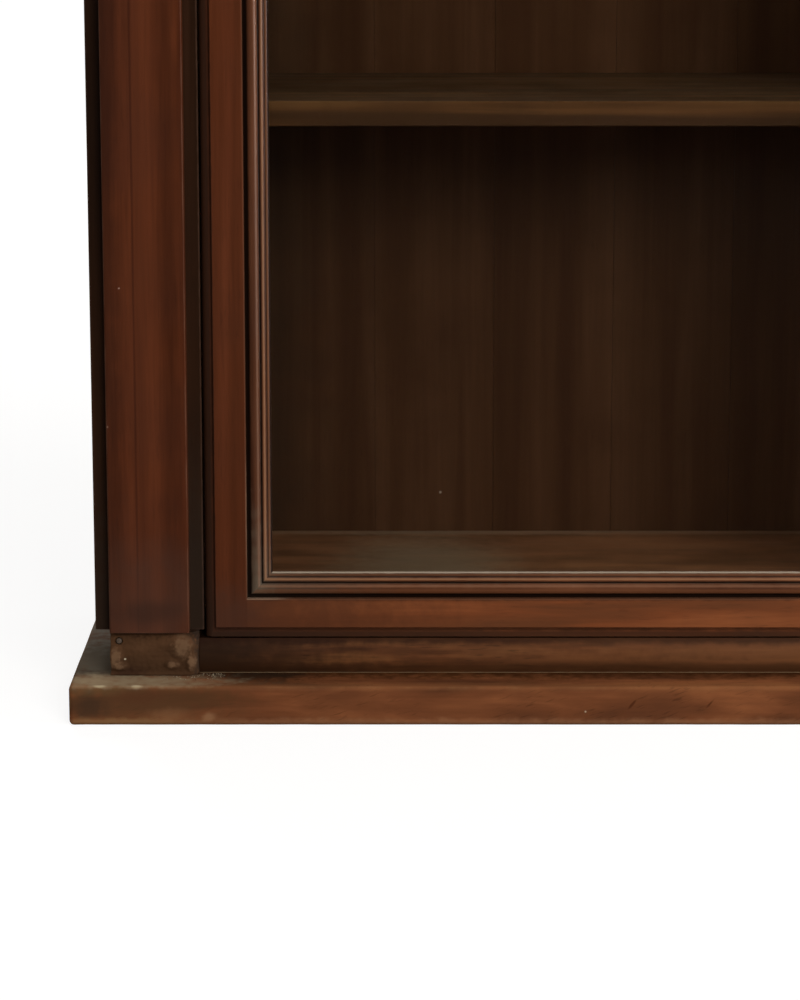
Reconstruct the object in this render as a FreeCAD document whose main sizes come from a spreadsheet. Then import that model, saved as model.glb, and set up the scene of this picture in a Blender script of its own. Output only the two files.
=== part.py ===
import FreeCAD, Part
import math
import os
import types

import Sketcher

# A tall bookcase with two glazed doors, in millimetres.
# +Z is up and the front faces -Y. The origin is on the floor, under the middle of the plinth.
# Left means the side at -X. What the right side repeats is mirrored from the left.

V = FreeCAD.Vector

SIZES = {
    # Plinth: a frame of thick boards lying on the floor
    "plinth_width": 1340.0,
    "plinth_depth": 392.0,
    "plinth_height": 33.0,
    "plinth_front_width": 90.0,
    "plinth_side_width": 110.0,
    "plinth_back_width": 70.0,
    "plinth_round": 3.5,
    "plinth_end_round": 3.0,
    # Neck: the set-back rails and corner blocks between plinth and case
    "neck_front_set": 39.0,
    "neck_side_set": 30.6,
    "neck_rail_height": 29.0,
    "neck_rail_thick": 34.0,
    "neck_rail_swell": 3.6,
    "neck_side_thick": 30.0,
    "neck_back_thick": 30.0,
    "block_front_set": 33.0,
    "block_width": 72.0,
    "block_height": 36.0,
    "block_depth": 34.0,
    "block_round": 9.0,
    # Case: corner posts, pilasters and framed sides
    "case_side_set": 18.7,
    "post_front_set": 42.0,
    "post_width": 88.0,
    "post_thick": 28.0,
    "pilaster_front_set": 29.0,
    "pilaster_margin": 12.3,
    "pilaster_width": 64.3,
    "pilaster_round": 1.4,
    "capital_height": 40.0,
    "capital_lip": 6.0,
    "side_thick": 22.0,
    "side_panel_thick": 10.0,
    "side_panel_set": 7.0,
    "groove_depth": 8.0,
    "groove_play": 0.3,
    "panel_float": 1.0,
    "rear_stile_width": 60.0,
    "side_lower_height": 90.0,
    "side_upper_height": 150.0,
    "back_thick": 12.0,
    "back_lap": 10.0,
    "back_play": 0.5,
    "back_joint": 0.6,
    "floor_thick": 17.0,
    # Doors
    "door_front_set": 38.0,
    "door_thick": 24.0,
    "door_height": 1790.0,
    "door_gap": 1.5,
    "door_side_gap": 1.2,
    "meeting_gap": 2.4,
    "stile_width": 34.0,
    "door_rail_width": 32.0,
    "band_width": 8.5,
    "band_set": 3.5,
    "band_round": 6.0,
    # Glazing moulding, counted from the door frame towards the glass
    "quirk_width": 2.4,
    "quirk_depth": 5.0,
    "torus_width": 8.8,
    "torus_drop": 1.2,
    "reed_gap": 0.8,
    "reed_step": 0.6,
    "wide_reed": 4.0,
    "wide_reed_drop": 1.2,
    "thin_reed": 2.6,
    "thin_reed_drop": 1.0,
    "lip_width": 0.8,
    "moulding_depth": 12.0,
    "glass_thick": 3.0,
    "glass_play": 0.2,
    "glass_edge_play": 1.5,
    "bead_width": 9.0,
    "bead_round": 4.0,
    # Top: rail over the doors, frieze, bed moulding and top board
    "top_rail_thick": 22.0,
    "frieze_height": 90.0,
    "bed_height": 40.0,
    "bed_projection": 16.0,
    "bed_fillet": 4.0,
    "bed_band": 8.0,
    "top_thick": 25.0,
    "top_round": 3.5,
    # Shelves on cross battens in toothed racks
    "rack_thick": 12.0,
    "rack_width": 24.0,
    "rack_pitch": 40.0,
    "rack_first": 60.0,
    "notch_depth": 9.0,
    "notch_height": 18.0,
    "batten_height": 14.0,
    "batten_play": 0.2,
    "shelf_thick": 20.0,
    "shelf_play": 1.0,
    "shelf_front_play": 6.0,
    "stop_width": 60.0,
    "stop_play": 0.4,
    # Pin pivots that hang the doors at top and bottom
    "pivot_in": 12.0,
    "pivot_back": 9.0,
    "pin_radius": 2.5,
    "pin_play": 0.05,
    "pin_rise": 6.5,
    "pin_hole_play": 0.8,
    "collar_radius": 3.8,
    "collar_play": 0.05,
    "leaf_length": 44.0,
    "leaf_width": 8.0,
    "leaf_thick": 2.0,
    # Flush bolts inside the left door's meeting stile
    "bolt_radius": 3.0,
    "bolt_play": 0.06,
    "bolt_length": 110.0,
    "bolt_throw": 12.0,
    "bolt_shy": 0.4,
    "bolt_back": 14.0,
    "bolt_knob_radius": 3.5,
    "bolt_knob_reach": 7.0,
    "bolt_slot_play": 0.6,
    "keeper_play": 0.5,
    "keeper_depth": 15.0,
    # Lock and key on the right door's meeting stile
    "lock_height": 900.0,
    "lock_width": 28.0,
    "lock_tall": 60.0,
    "lock_thick": 12.0,
    "lock_wall": 1.5,
    "lock_edge": 2.5,
    "lock_bolt_tall": 9.0,
    "lock_bolt_thick": 6.0,
    "lock_bolt_length": 18.0,
    "lock_bolt_rise": 12.0,
    "lock_bolt_play": 0.15,
    "lock_bolt_shy": 0.5,
    "key_drop": 10.0,
    "key_radius": 2.6,
    "key_bore_radius": 1.3,
    "key_bore_depth": 8.0,
    "key_play": 0.05,
    "key_hole_play": 0.4,
    "key_slot_width": 3.2,
    "key_bit_length": 8.0,
    "key_bit_thick": 2.2,
    "key_bit_deep": 6.0,
    "key_reach": 13.0,
    "key_bow_radius": 8.0,
    "key_bow_wire": 1.9,
    "key_collar_radius": 4.2,
    "key_collar_thick": 3.0,
    "escutcheon_tall": 36.0,
    "escutcheon_width": 17.0,
    "escutcheon_thick": 1.2,
    "strike_width": 14.0,
    "strike_tall": 36.0,
    "strike_thick": 1.0,
    # One overrun for every cut
    "overrun": 2.0,
}

# Counts
BACK_BOARDS = 12
SHELVES = 4

# Shares of the sizes that they follow
TORUS_RADIUS_SHARE = 0.57
WIDE_REED_RADIUS_SHARE = 0.62
THIN_REED_RADIUS_SHARE = 0.64
BED_COVE_RADIUS_SHARE = 1.05
CAPITAL_NECK_SHARE = 0.35
CAPITAL_ABACUS_SHARE = 0.62
CAPITAL_ROUND_SHARE = 1.6
KNOB_PLACE_SHARE = 0.6
KEY_COLLAR_SHARE = 0.3
NEAR_SHARE = 0.001


class Size:
    """A length that holds both its number and the sheet formula that gives it."""

    def __init__(self, value, text):
        self.value = value
        self.text = text

    def __add__(self, other):
        return Size(self.value + number(other), f"({self.text} + {formula(other)})")

    def __radd__(self, other):
        return Size(number(other) + self.value, f"({formula(other)} + {self.text})")

    def __sub__(self, other):
        return Size(self.value - number(other), f"({self.text} - {formula(other)})")

    def __rsub__(self, other):
        return Size(number(other) - self.value, f"({formula(other)} - {self.text})")

    def __mul__(self, other):
        return Size(self.value * number(other), f"({self.text} * {formula(other)})")

    def __rmul__(self, other):
        return Size(number(other) * self.value, f"({formula(other)} * {self.text})")

    def __truediv__(self, other):
        return Size(self.value / number(other), f"({self.text} / {formula(other)})")

    def __neg__(self):
        return Size(-self.value, f"(0 - {self.text})")


def number(size):
    return size.value if isinstance(size, Size) else size


def formula(size):
    return size.text if isinstance(size, Size) else repr(size)


doc = FreeCAD.newDocument("bookcase")
sheet = doc.addObject("Spreadsheet::Sheet", "sizes")
for row, (name, value) in enumerate(SIZES.items(), 1):
    sheet.set(f"A{row}", name)
    sheet.set(f"B{row}", str(value))
    sheet.setAlias(f"B{row}", name)
doc.recompute()
d = types.SimpleNamespace(**{name: Size(value, "sizes." + name) for name, value in SIZES.items()})
nodes = {}

# How a section drawn in (u, v) and run along w is turned into the case
ALONG_X = FreeCAD.Rotation(V(1, 1, 1), 120)       # u to +Y, v to +Z, w to +X
ALONG_Y = FreeCAD.Rotation(V(1, 1, 1), 240)       # u to +Z, v to +X, w to +Y
ALONG_MINUS_X = FreeCAD.Rotation(V(0, 1, 0), -90)  # u to +Z, v to +Y, w to -X
ROUND_Y = FreeCAD.Rotation(V(1, 0, 0), -90)       # a cylinder's axis to +Y


def keep(label, thing):
    """Count an object as a finished piece under its own name."""
    thing.Label = label
    nodes[label] = thing
    return thing


def bind(thing, slot, size):
    """Give a property its formula; a plain zero is left as it is."""
    if isinstance(size, Size):
        thing.setExpression(slot, size.text)


def place(thing, spot, turn=None):
    if turn is not None:
        thing.Placement = FreeCAD.Placement(V(), turn)
    for axis, size in zip("xyz", spot):
        bind(thing, f"Placement.Base.{axis}", size)


def board(label, low, span):
    """A squared board from its low corner and its three sizes."""
    box = doc.addObject("Part::Box", label)
    for slot, size in zip(("Length", "Width", "Height"), span):
        bind(box, slot, size)
    place(box, low)
    return box


def rod(label, foot, radius, length, turn=None):
    """A round rod from the middle of its foot."""
    cylinder = doc.addObject("Part::Cylinder", label)
    bind(cylinder, "Radius", radius)
    bind(cylinder, "Height", length)
    place(cylinder, foot, turn)
    return cylinder


def fused(label, pieces):
    fuse = doc.addObject("Part::MultiFuse", label)
    fuse.Shapes = pieces
    return fuse


def cut(label, base, tools):
    """The base with the room of every tool taken out of it."""
    result = doc.addObject("Part::Cut", label)
    result.Base = base
    result.Tool = tools[0] if len(tools) == 1 else fused(label + "_room", tools)
    return result


def group(label, pieces):
    """Separate solids that share one name."""
    compound = doc.addObject("Part::Compound", label)
    compound.Links = pieces
    return compound


def mirror(label, source, normal=V(1, 0, 0), base=(0, 0, 0)):
    """The same piece on the other side of a plane; the plane is the case's middle unless said."""
    twin = doc.addObject("Part::Mirroring", label)
    twin.Source = source
    twin.Normal = normal
    for axis, size in zip("xyz", base):
        bind(twin, f"Base.{axis}", size)
    return twin


def both_sides(name, left):
    """Keep a left piece and its mirrored twin."""
    keep(name + "_left", left)
    return left, keep(name + "_right", mirror(name + "_right", left))


def arc_between(start, stop, radius, side):
    """An arc bulging to the left of its travel for side 1 and to the right for side -1."""
    chord = stop - start
    half = chord.Length / 2
    left = V(-chord.y, chord.x, 0).normalize()
    rise = math.sqrt(max(radius * radius - half * half, 0))
    middle = (start + stop) / 2 - left * (rise * side)
    first, last = (stop, start) if side > 0 else (start, stop)
    angle_from = math.atan2(first.y - middle.y, first.x - middle.x)
    angle_to = math.atan2(last.y - middle.y, last.x - middle.x)
    if angle_to < angle_from:
        angle_to += 2 * math.pi
    circle = Part.Circle(middle, V(0, 0, 1), radius)
    return Part.ArcOfCircle(circle, angle_from, angle_to), (2, 1) if side > 0 else (1, 2)


def draw(sketch, points):
    """A closed loop; a point with a radius and a side ends an arc, and the others end lines."""
    first = sketch.GeometryCount
    count = len(points)
    spots = [V(number(point[0]), number(point[1]), 0) for point in points]
    ends = []
    for index in range(count):
        following = (index + 1) % count
        stop = points[following]
        if len(stop) == 2:
            piece, order = Part.LineSegment(spots[index], spots[following]), (1, 2)
        else:
            piece, order = arc_between(spots[index], spots[following], number(stop[2]), stop[3])
        sketch.addGeometry(piece, False)
        ends.append(order)
    for index, point in enumerate(points):
        line = first + index
        before = first + (index - 1) % count
        begin = ends[index][0]
        sketch.addConstraint(Sketcher.Constraint("Coincident", before, ends[index - 1][1], line, begin))
        for kind, axis, size in (("DistanceX", -2, point[0]), ("DistanceY", -1, point[1])):
            if isinstance(size, Size):
                tag = sketch.addConstraint(Sketcher.Constraint(kind, -1, 1, line, begin, size.value))
                sketch.setExpression(f"Constraints[{tag}]", size.text)
            else:
                sketch.addConstraint(Sketcher.Constraint("PointOnObject", line, begin, axis))
        if len(point) > 2:
            tag = sketch.addConstraint(Sketcher.Constraint("Radius", before, number(point[2])))
            bind(sketch, f"Constraints[{tag}]", point[2])


def section(body, plane, loops):
    """A sketch on one of a body's own planes."""
    sketch = body.newObject("Sketcher::SketchObject", body.Name + "_section")
    home = [feature for feature in body.Origin.OriginFeatures if feature.Role == plane]
    sketch.AttachmentSupport = [(home[0], "")]
    sketch.MapMode = "FlatFace"
    for loop in loops:
        draw(sketch, loop)
    return sketch


def stick(label, points, length, spot, turn=None):
    """A piece with one section along its whole length, as a plane or a moulding cutter leaves it."""
    body = doc.addObject("PartDesign::Body", label)
    pad = body.newObject("PartDesign::Pad", label + "_run")
    pad.Profile = section(body, "XY_Plane", [points])
    bind(pad, "Length", length)
    body.Tip = pad
    place(body, spot, turn)
    return body


def trim(body, loops, depth=None):
    """Cut outlines drawn across u and w out of a stick, to a depth from v = 0 or right through."""
    pocket = body.newObject("PartDesign::Pocket", body.Name + "_trim")
    pocket.Profile = section(body, "XZ_Plane", loops)
    if depth is None:
        pocket.Type = "ThroughAll"
        pocket.SideType = "Symmetric"
    else:
        bind(pocket, "Length", depth)
    body.Tip = pocket
    return pocket


def mitre(body, width, length):
    """Cut a stick's ends at 45 degrees, so that it is longest at u = 0."""
    reach = width + d.overrun
    trim(body, [[(0, 0), (reach, 0), (reach, reach)],
                [(0, length), (reach, length - reach), (reach, length)]])


def soften(body, pick, radius):
    """Round the edges of a body that pick chooses."""
    doc.recompute()
    base = body.Tip
    names = [f"Edge{index}" for index, edge in enumerate(base.Shape.Edges, 1) if pick(edge)]
    fillet = body.newObject("PartDesign::Fillet", body.Name + "_round")
    fillet.Base = (base, names)
    bind(fillet, "Radius", radius)
    body.Tip = fillet


def rectangle(low_u, low_v, high_u, high_v):
    return [(low_u, low_v), (high_u, low_v), (high_u, high_v), (low_u, high_v)]


def rounded_front(depth, height, radius):
    """A board's section with its front arrises, at u = 0, rounded."""
    return [(0, radius, radius, 1), (0, height - radius), (radius, height, radius, 1),
            (depth, height), (depth, 0), (radius, 0)]


# Places worked out from the sizes: distances across from the middle, back from the front, up from the floor
half = d.plinth_width / 2
front = -(d.plinth_depth / 2)
back = d.plinth_depth / 2
neck_left = d.neck_side_set - half
case_left = d.case_side_set - half
case_width = d.plinth_width - 2 * d.case_side_set
inside_left = case_left + d.side_thick
post_face = front + d.post_front_set
post_back = post_face + d.post_thick
post_inner = case_left + d.post_width
pilaster_face = front + d.pilaster_front_set
back_face = back - d.back_thick
rail_top = d.plinth_height + d.neck_rail_height
case_foot = d.plinth_height + d.block_height
door_left = post_inner + d.door_side_gap
door_right = -(d.meeting_gap / 2)
door_width = door_right - door_left
door_face = front + d.door_front_set
door_back = door_face + d.door_thick
door_foot = rail_top + d.door_gap
door_head = door_foot + d.door_height
door_middle = door_foot + d.door_height / 2
frieze_foot = door_head + d.door_gap
case_head = frieze_foot + d.frieze_height
floor_top = rail_top + d.floor_thick
ceiling_foot = frieze_foot - d.floor_thick
rear_stile_face = back - d.rear_stile_width


def make_plinth():
    """A board frame on the floor: a full-width front board, two sides and a back."""
    board_front = stick("plinth_front", rounded_front(d.plinth_front_width, d.plinth_height, d.plinth_round),
                        d.plinth_width, (-half, front, 0), ALONG_X)

    def at_an_end(edge):
        box = edge.BoundBox
        near = d.overrun.value * NEAR_SHARE
        at_end = min(abs(box.ZMin), abs(box.ZMax - d.plinth_width.value)) < near
        return box.ZLength < near and at_end and box.XMin < d.plinth_front_width.value - near

    soften(board_front, at_an_end, d.plinth_end_round)
    keep("plinth_front", board_front)
    radius = d.plinth_round
    tall = d.plinth_height
    wide = d.plinth_side_width
    side_section = [(radius, 0, radius, -1), (tall - radius, 0), (tall, radius, radius, -1),
                    (tall, wide), (0, wide), (0, radius)]
    side_start = front + d.plinth_front_width
    side = stick("plinth_side_left", side_section, back - side_start, (-half, side_start, 0), ALONG_Y)
    both_sides("plinth_side", side)
    keep("plinth_back", board("plinth_back", (wide - half, back - d.plinth_back_width, 0),
                              (d.plinth_width - 2 * wide, d.plinth_back_width, tall)))


def make_neck():
    """The set-back rails that lift the case off the plinth, and the blocks under the pilasters."""
    block = d.block_round
    plan = [(0, 0), (d.block_width - block, 0), (d.block_width, block, block, -1),
            (d.block_width, d.block_depth), (0, d.block_depth)]
    foot = d.plinth_height
    both_sides("base_block", stick("base_block_left", plan, d.block_height,
                                   (neck_left, front + d.block_front_set, foot)))
    tall = d.neck_rail_height
    swell = d.neck_rail_swell
    radius = (tall * tall / 4 + swell * swell) / (2 * swell)
    face = [(swell, 0), (swell, tall, radius, 1), (d.neck_rail_thick, tall), (d.neck_rail_thick, 0)]
    rail_left = neck_left + d.block_width
    rail = stick("neck_front_blank", face, -rail_left * 2,
                 (rail_left, front + d.neck_front_set, foot), ALONG_X)
    holes = [leaf_room("neck_leaf_left"), mirror("neck_leaf_right", doc.getObject("neck_leaf_left"))]
    # A chopped square mortise keeps the bolt
    keeper = d.bolt_radius + d.keeper_play
    holes.append(board("neck_bolt_hole", (bolt_x - keeper, bolt_y - keeper, rail_top - d.keeper_depth),
                       (keeper * 2, keeper * 2, d.keeper_depth + d.overrun)))
    keep("neck_front_rail", cut("neck_front_rail", rail, holes))
    step = inside_left - neck_left
    rebated = [(0, 0), (d.block_height, 0), (d.block_height, step), (tall, step),
               (tall, d.neck_side_thick), (0, d.neck_side_thick)]
    start = front + d.block_front_set + d.block_depth
    both_sides("neck_side_rail", stick("neck_side_rail_left", rebated, back - start,
                                       (neck_left, start, foot), ALONG_Y))
    rear_left = neck_left + d.neck_side_thick
    keep("neck_back_rail", board("neck_back_rail", (rear_left, back - d.neck_back_thick, foot),
                                 (-rear_left * 2, d.neck_back_thick, tall)))


def make_posts():
    """Front corner posts with raised pilasters, and a small capital on each pilaster."""
    groove_low = d.side_panel_set - d.groove_play
    groove_high = d.side_panel_set + d.side_panel_thick + d.groove_play
    bottom = d.post_thick - d.groove_depth
    plan = [(0, 0), (d.post_width, 0), (d.post_width, d.post_thick), (groove_high, d.post_thick),
            (groove_high, bottom), (groove_low, bottom), (groove_low, d.post_thick), (0, d.post_thick)]
    both_sides("front_post", stick("front_post_left", plan, case_head - case_foot,
                                   (case_left, post_face, case_foot)))
    thick = d.post_front_set - d.pilaster_front_set
    wide = d.pilaster_width
    ease = d.pilaster_round
    plan = [(ease, 0, ease, -1), (wide - ease, 0), (wide, ease, ease, -1), (wide, thick), (0, thick),
            (0, ease)]
    pilaster_left = case_left + d.pilaster_margin
    capital_foot = frieze_foot - d.capital_height
    both_sides("pilaster", stick("pilaster_left", plan, capital_foot - case_foot,
                                 (pilaster_left, pilaster_face, case_foot)))
    tall = d.capital_height
    lip = d.capital_lip
    neck = tall * CAPITAL_NECK_SHARE
    abacus = tall * CAPITAL_ABACUS_SHARE
    ovolo = lip * CAPITAL_ROUND_SHARE
    deep = thick + lip
    broad = wide + 2 * lip
    across = [(lip, 0), (lip, neck), (0, abacus, ovolo, 1), (0, tall), (deep, tall), (deep, 0)]
    along = [(0, lip), (0, broad - lip), (neck, broad - lip), (abacus, broad, ovolo, 1), (tall, broad),
             (tall, 0), (abacus, 0), (neck, lip, ovolo, 1)]
    corner = (pilaster_left - lip, pilaster_face - lip, capital_foot)
    capital = doc.addObject("Part::Common", "capital_left")
    capital.Base = stick("capital_across", across, broad, corner, ALONG_X)
    capital.Tool = stick("capital_along", along, deep, corner, ALONG_Y)
    both_sides("capital", capital)


def make_sides():
    """Framed sides: a rear stile, two rails and a thin panel floating in grooves."""
    thick = d.side_thick
    groove_low = d.side_panel_set - d.groove_play
    groove_high = d.side_panel_set + d.side_panel_thick + d.groove_play
    rebate = d.rear_stile_width - d.back_thick
    plan = [(0, 0), (groove_low, 0), (groove_low, d.groove_depth), (groove_high, d.groove_depth),
            (groove_high, 0), (thick, 0), (thick, rebate), (d.back_lap, rebate),
            (d.back_lap, d.rear_stile_width), (0, d.rear_stile_width)]
    both_sides("rear_stile", stick("rear_stile_left", plan, case_head - case_foot,
                                   (case_left, rear_stile_face, case_foot)))
    rails = []
    for name, foot, tall, groove_up in (("lower", case_foot, d.side_lower_height, True),
                                        ("upper", case_head - d.side_upper_height, d.side_upper_height, False)):
        near = tall if groove_up else 0
        floor = tall - d.groove_depth if groove_up else d.groove_depth
        far = 0 if groove_up else tall
        face = [(far, 0), (near, 0), (near, groove_low), (floor, groove_low), (floor, groove_high),
                (near, groove_high), (near, thick), (far, thick)]
        rails.append(stick(f"side_{name}_rail", face, rear_stile_face - post_back,
                           (case_left, post_back, foot), ALONG_Y))
    both_sides("side_rails", group("side_rails_left", rails))
    inset = d.groove_depth - d.panel_float
    panel_foot = case_foot + d.side_lower_height - inset
    panel_head = case_head - d.side_upper_height + inset
    both_sides("side_panel", board(
        "side_panel_left", (case_left + d.side_panel_set, post_back - inset, panel_foot),
        (d.side_panel_thick, rear_stile_face - post_back + 2 * inset, panel_head - panel_foot)))


def make_floor_and_back():
    """Bottom board, ceiling board, door stops and the upright back boards."""
    for name, foot in (("bottom_board", rail_top), ("ceiling_board", ceiling_foot)):
        keep(name, board(name, (inside_left, post_back, foot),
                         (-inside_left * 2, back_face - post_back, d.floor_thick)))
    stop_face = door_back + d.stop_play
    stops = [board(f"stop_{name}", (-(d.stop_width / 2), stop_face, foot),
                   (d.stop_width, post_back - stop_face, tall))
             for name, foot, tall in (("lower", rail_top, d.floor_thick), ("upper", ceiling_foot, d.floor_thick))]
    keep("door_stops", group("door_stops", stops))
    edge = case_left + d.back_lap + d.back_play
    pitch = (-edge * 2) / BACK_BOARDS
    boards = [board(f"back_board_{index}", (edge + pitch * index, back_face, case_foot),
                    (pitch - d.back_joint, d.back_thick, case_head - case_foot))
              for index in range(BACK_BOARDS)]
    keep("back_boards", group("back_boards", boards))


def make_top():
    """The rail over the doors, the frieze in front of it, the mitred bed moulding and the top board."""
    rail = board("top_rail_blank", (post_inner, post_face, frieze_foot),
                 (-post_inner * 2, d.top_rail_thick, d.frieze_height))
    flipped = [mirror(f"top_{name}", doc.getObject(f"neck_{name}"), V(0, 0, 1), (0, 0, door_middle))
               for name in ("leaf_left", "leaf_right", "bolt_hole")]
    keep("top_rail", cut("top_rail", rail, flipped))
    keep("frieze", board("frieze", (case_left, pilaster_face, frieze_foot),
                         (case_width, d.post_front_set - d.pilaster_front_set, d.frieze_height)))
    out = d.bed_projection
    tall = d.bed_height
    cove_foot = d.bed_fillet
    cove_head = tall - d.bed_band
    cove = out * 2 * BED_COVE_RADIUS_SHARE
    corner_x = case_left - out
    corner_y = pilaster_face - out
    foot = case_head - tall
    profile = [(0, cove_head, cove, -1), (0, tall), (out, tall), (out, 0), (out - cove_foot, 0),
               (out - cove_foot, cove_foot)]
    bed_front = stick("bed_front", profile, -corner_x * 2, (corner_x, corner_y, foot), ALONG_X)
    mitre(bed_front, out, -corner_x * 2)
    side_profile = [(cove_head, 0, cove, 1), (tall, 0), (tall, out), (0, out), (0, out - cove_foot),
                    (cove_foot, out - cove_foot)]
    bed_left = stick("bed_left", side_profile, back - corner_y, (corner_x, corner_y, foot), ALONG_Y)
    bed_side_mitre(bed_left, out)
    keep("bed_moulding", group("bed_moulding", [bed_front, bed_left, mirror("bed_right", bed_left)]))
    slab = stick("top_board", rounded_front(d.plinth_depth, d.top_thick, d.top_round), d.plinth_width,
                 (-half, front, case_head), ALONG_X)
    keep("top_board", slab)


def bed_side_mitre(body, out):
    """The side moulding's front end, cut across v and w on the body's own YZ plane."""
    reach = out + d.overrun
    pocket = body.newObject("PartDesign::Pocket", body.Name + "_trim")
    pocket.Profile = section(body, "YZ_Plane", [[(0, 0), (reach, 0), (reach, reach)]])
    pocket.Type = "ThroughAll"
    pocket.SideType = "Symmetric"
    body.Tip = pocket


def make_racks():
    """Toothed strips in the four inner corners, cross battens in their notches, and notched shelves."""
    length = ceiling_foot - floor_top
    teeth = int((length.value - d.rack_first.value - d.notch_height.value) / d.rack_pitch.value)
    front_start = post_back
    rear_start = back_face - d.rack_width
    strips = []
    for name, start, turned in (("front", front_start, False), ("rear", rear_start, True)):
        body = stick(f"rack_{name}", rectangle(0, 0, d.rack_width, length), d.rack_thick,
                     (inside_left, start, floor_top), ALONG_X)
        seat = d.notch_depth if turned else d.rack_width - d.notch_depth
        outside = -d.overrun if turned else d.rack_width + d.overrun
        slope = d.notch_height * (d.overrun / d.notch_depth)
        tooth = [(seat, d.rack_first), (outside, d.rack_first),
                 (outside, d.rack_first + d.notch_height + slope)]
        notch = body.newObject("PartDesign::Pocket", f"rack_{name}_notch")
        notch.Profile = section(body, "XY_Plane", [tooth])
        notch.Type = "ThroughAll"
        notch.SideType = "Symmetric"
        body.Tip = notch
        doc.recompute()
        row = body.newObject("PartDesign::LinearPattern", f"rack_{name}_teeth")
        row.Originals = [notch]
        row.Direction = ([f for f in body.Origin.OriginFeatures if f.Role == "Y_Axis"][0], [""])
        row.Mode = "Spacing"
        bind(row, "Offset", d.rack_pitch)
        row.Occurrences = teeth
        body.Tip = row
        strips.append(body)
    strips += [mirror(f"{strip.Name}_right", strip) for strip in strips]
    keep("shelf_racks", group("shelf_racks", strips))
    notches = [teeth * (number_up + 1) // (SHELVES + 1) for number_up in range(SHELVES)]
    near = front_start + d.rack_width - d.notch_depth + d.batten_play
    far = rear_start + d.notch_depth - d.batten_play
    slant = d.notch_depth * (d.batten_height / d.notch_height)
    side = [(0, 0), (far - near, 0), (far - near - slant, d.batten_height), (slant, d.batten_height)]
    battens = []
    for index, notch_number in enumerate(notches):
        seat = floor_top + d.rack_first + d.rack_pitch * notch_number
        left = stick(f"batten_{index}", side, d.rack_thick, (inside_left, near, seat), ALONG_X)
        battens += [left, mirror(f"batten_{index}_right", left)]
        make_shelf(f"shelf_{index + 1}", seat + d.batten_height)
    keep("shelf_battens", group("shelf_battens", battens))


def make_shelf(label, foot):
    """A loose shelf with its corners cut round the racks."""
    play = d.shelf_play
    wide = -(inside_left + play) * 2
    start = post_back + d.shelf_front_play
    deep = back_face - play - start
    nick = d.rack_thick
    front_nick = d.rack_width - d.shelf_front_play + play
    rear_nick = deep - d.rack_width
    plan = [(nick, 0), (wide - nick, 0), (wide - nick, front_nick), (wide, front_nick), (wide, rear_nick),
            (wide - nick, rear_nick), (wide - nick, deep), (nick, deep), (nick, rear_nick), (0, rear_nick),
            (0, front_nick), (nick, front_nick)]
    keep(label, stick(label, plan, d.shelf_thick, (inside_left + play, start, foot)))


pivot_x = door_left + d.pivot_in
pivot_y = door_face + d.pivot_back
bolt_x = door_right - d.stile_width / 2
bolt_y = door_face + d.bolt_back


def leaf_room(label):
    """The bed cut into the rail under the left door for its fixed pivot leaf."""
    return board(label, (pivot_x - d.leaf_width / 2, pivot_y - d.leaf_width / 2, rail_top - d.leaf_thick),
                 (d.leaf_length, d.leaf_width, d.leaf_thick + d.overrun))


def make_fixed_pivots():
    """A plate let into the rail, with a collar that carries the door and a pin that it turns on."""
    corner = (pivot_x - d.leaf_width / 2, pivot_y - d.leaf_width / 2, rail_top - d.leaf_thick)
    plate = board("pivot_plate", corner, (d.leaf_length, d.leaf_width, d.leaf_thick))
    collar = rod("pivot_collar", (pivot_x, pivot_y, rail_top), d.collar_radius, d.door_gap - d.collar_play)
    pin = rod("pivot_pin", (pivot_x, pivot_y, rail_top), d.pin_radius, d.pin_rise)
    lower = fused("pivot_lower", [plate, collar, pin])
    upper = mirror("pivot_upper", lower, V(0, 0, 1), (0, 0, door_middle))
    pivots = [lower, upper]
    pivots += [mirror(f"{pivot.Name}_right", pivot) for pivot in pivots]
    keep("fixed_pivots", group("fixed_pivots", pivots))


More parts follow.
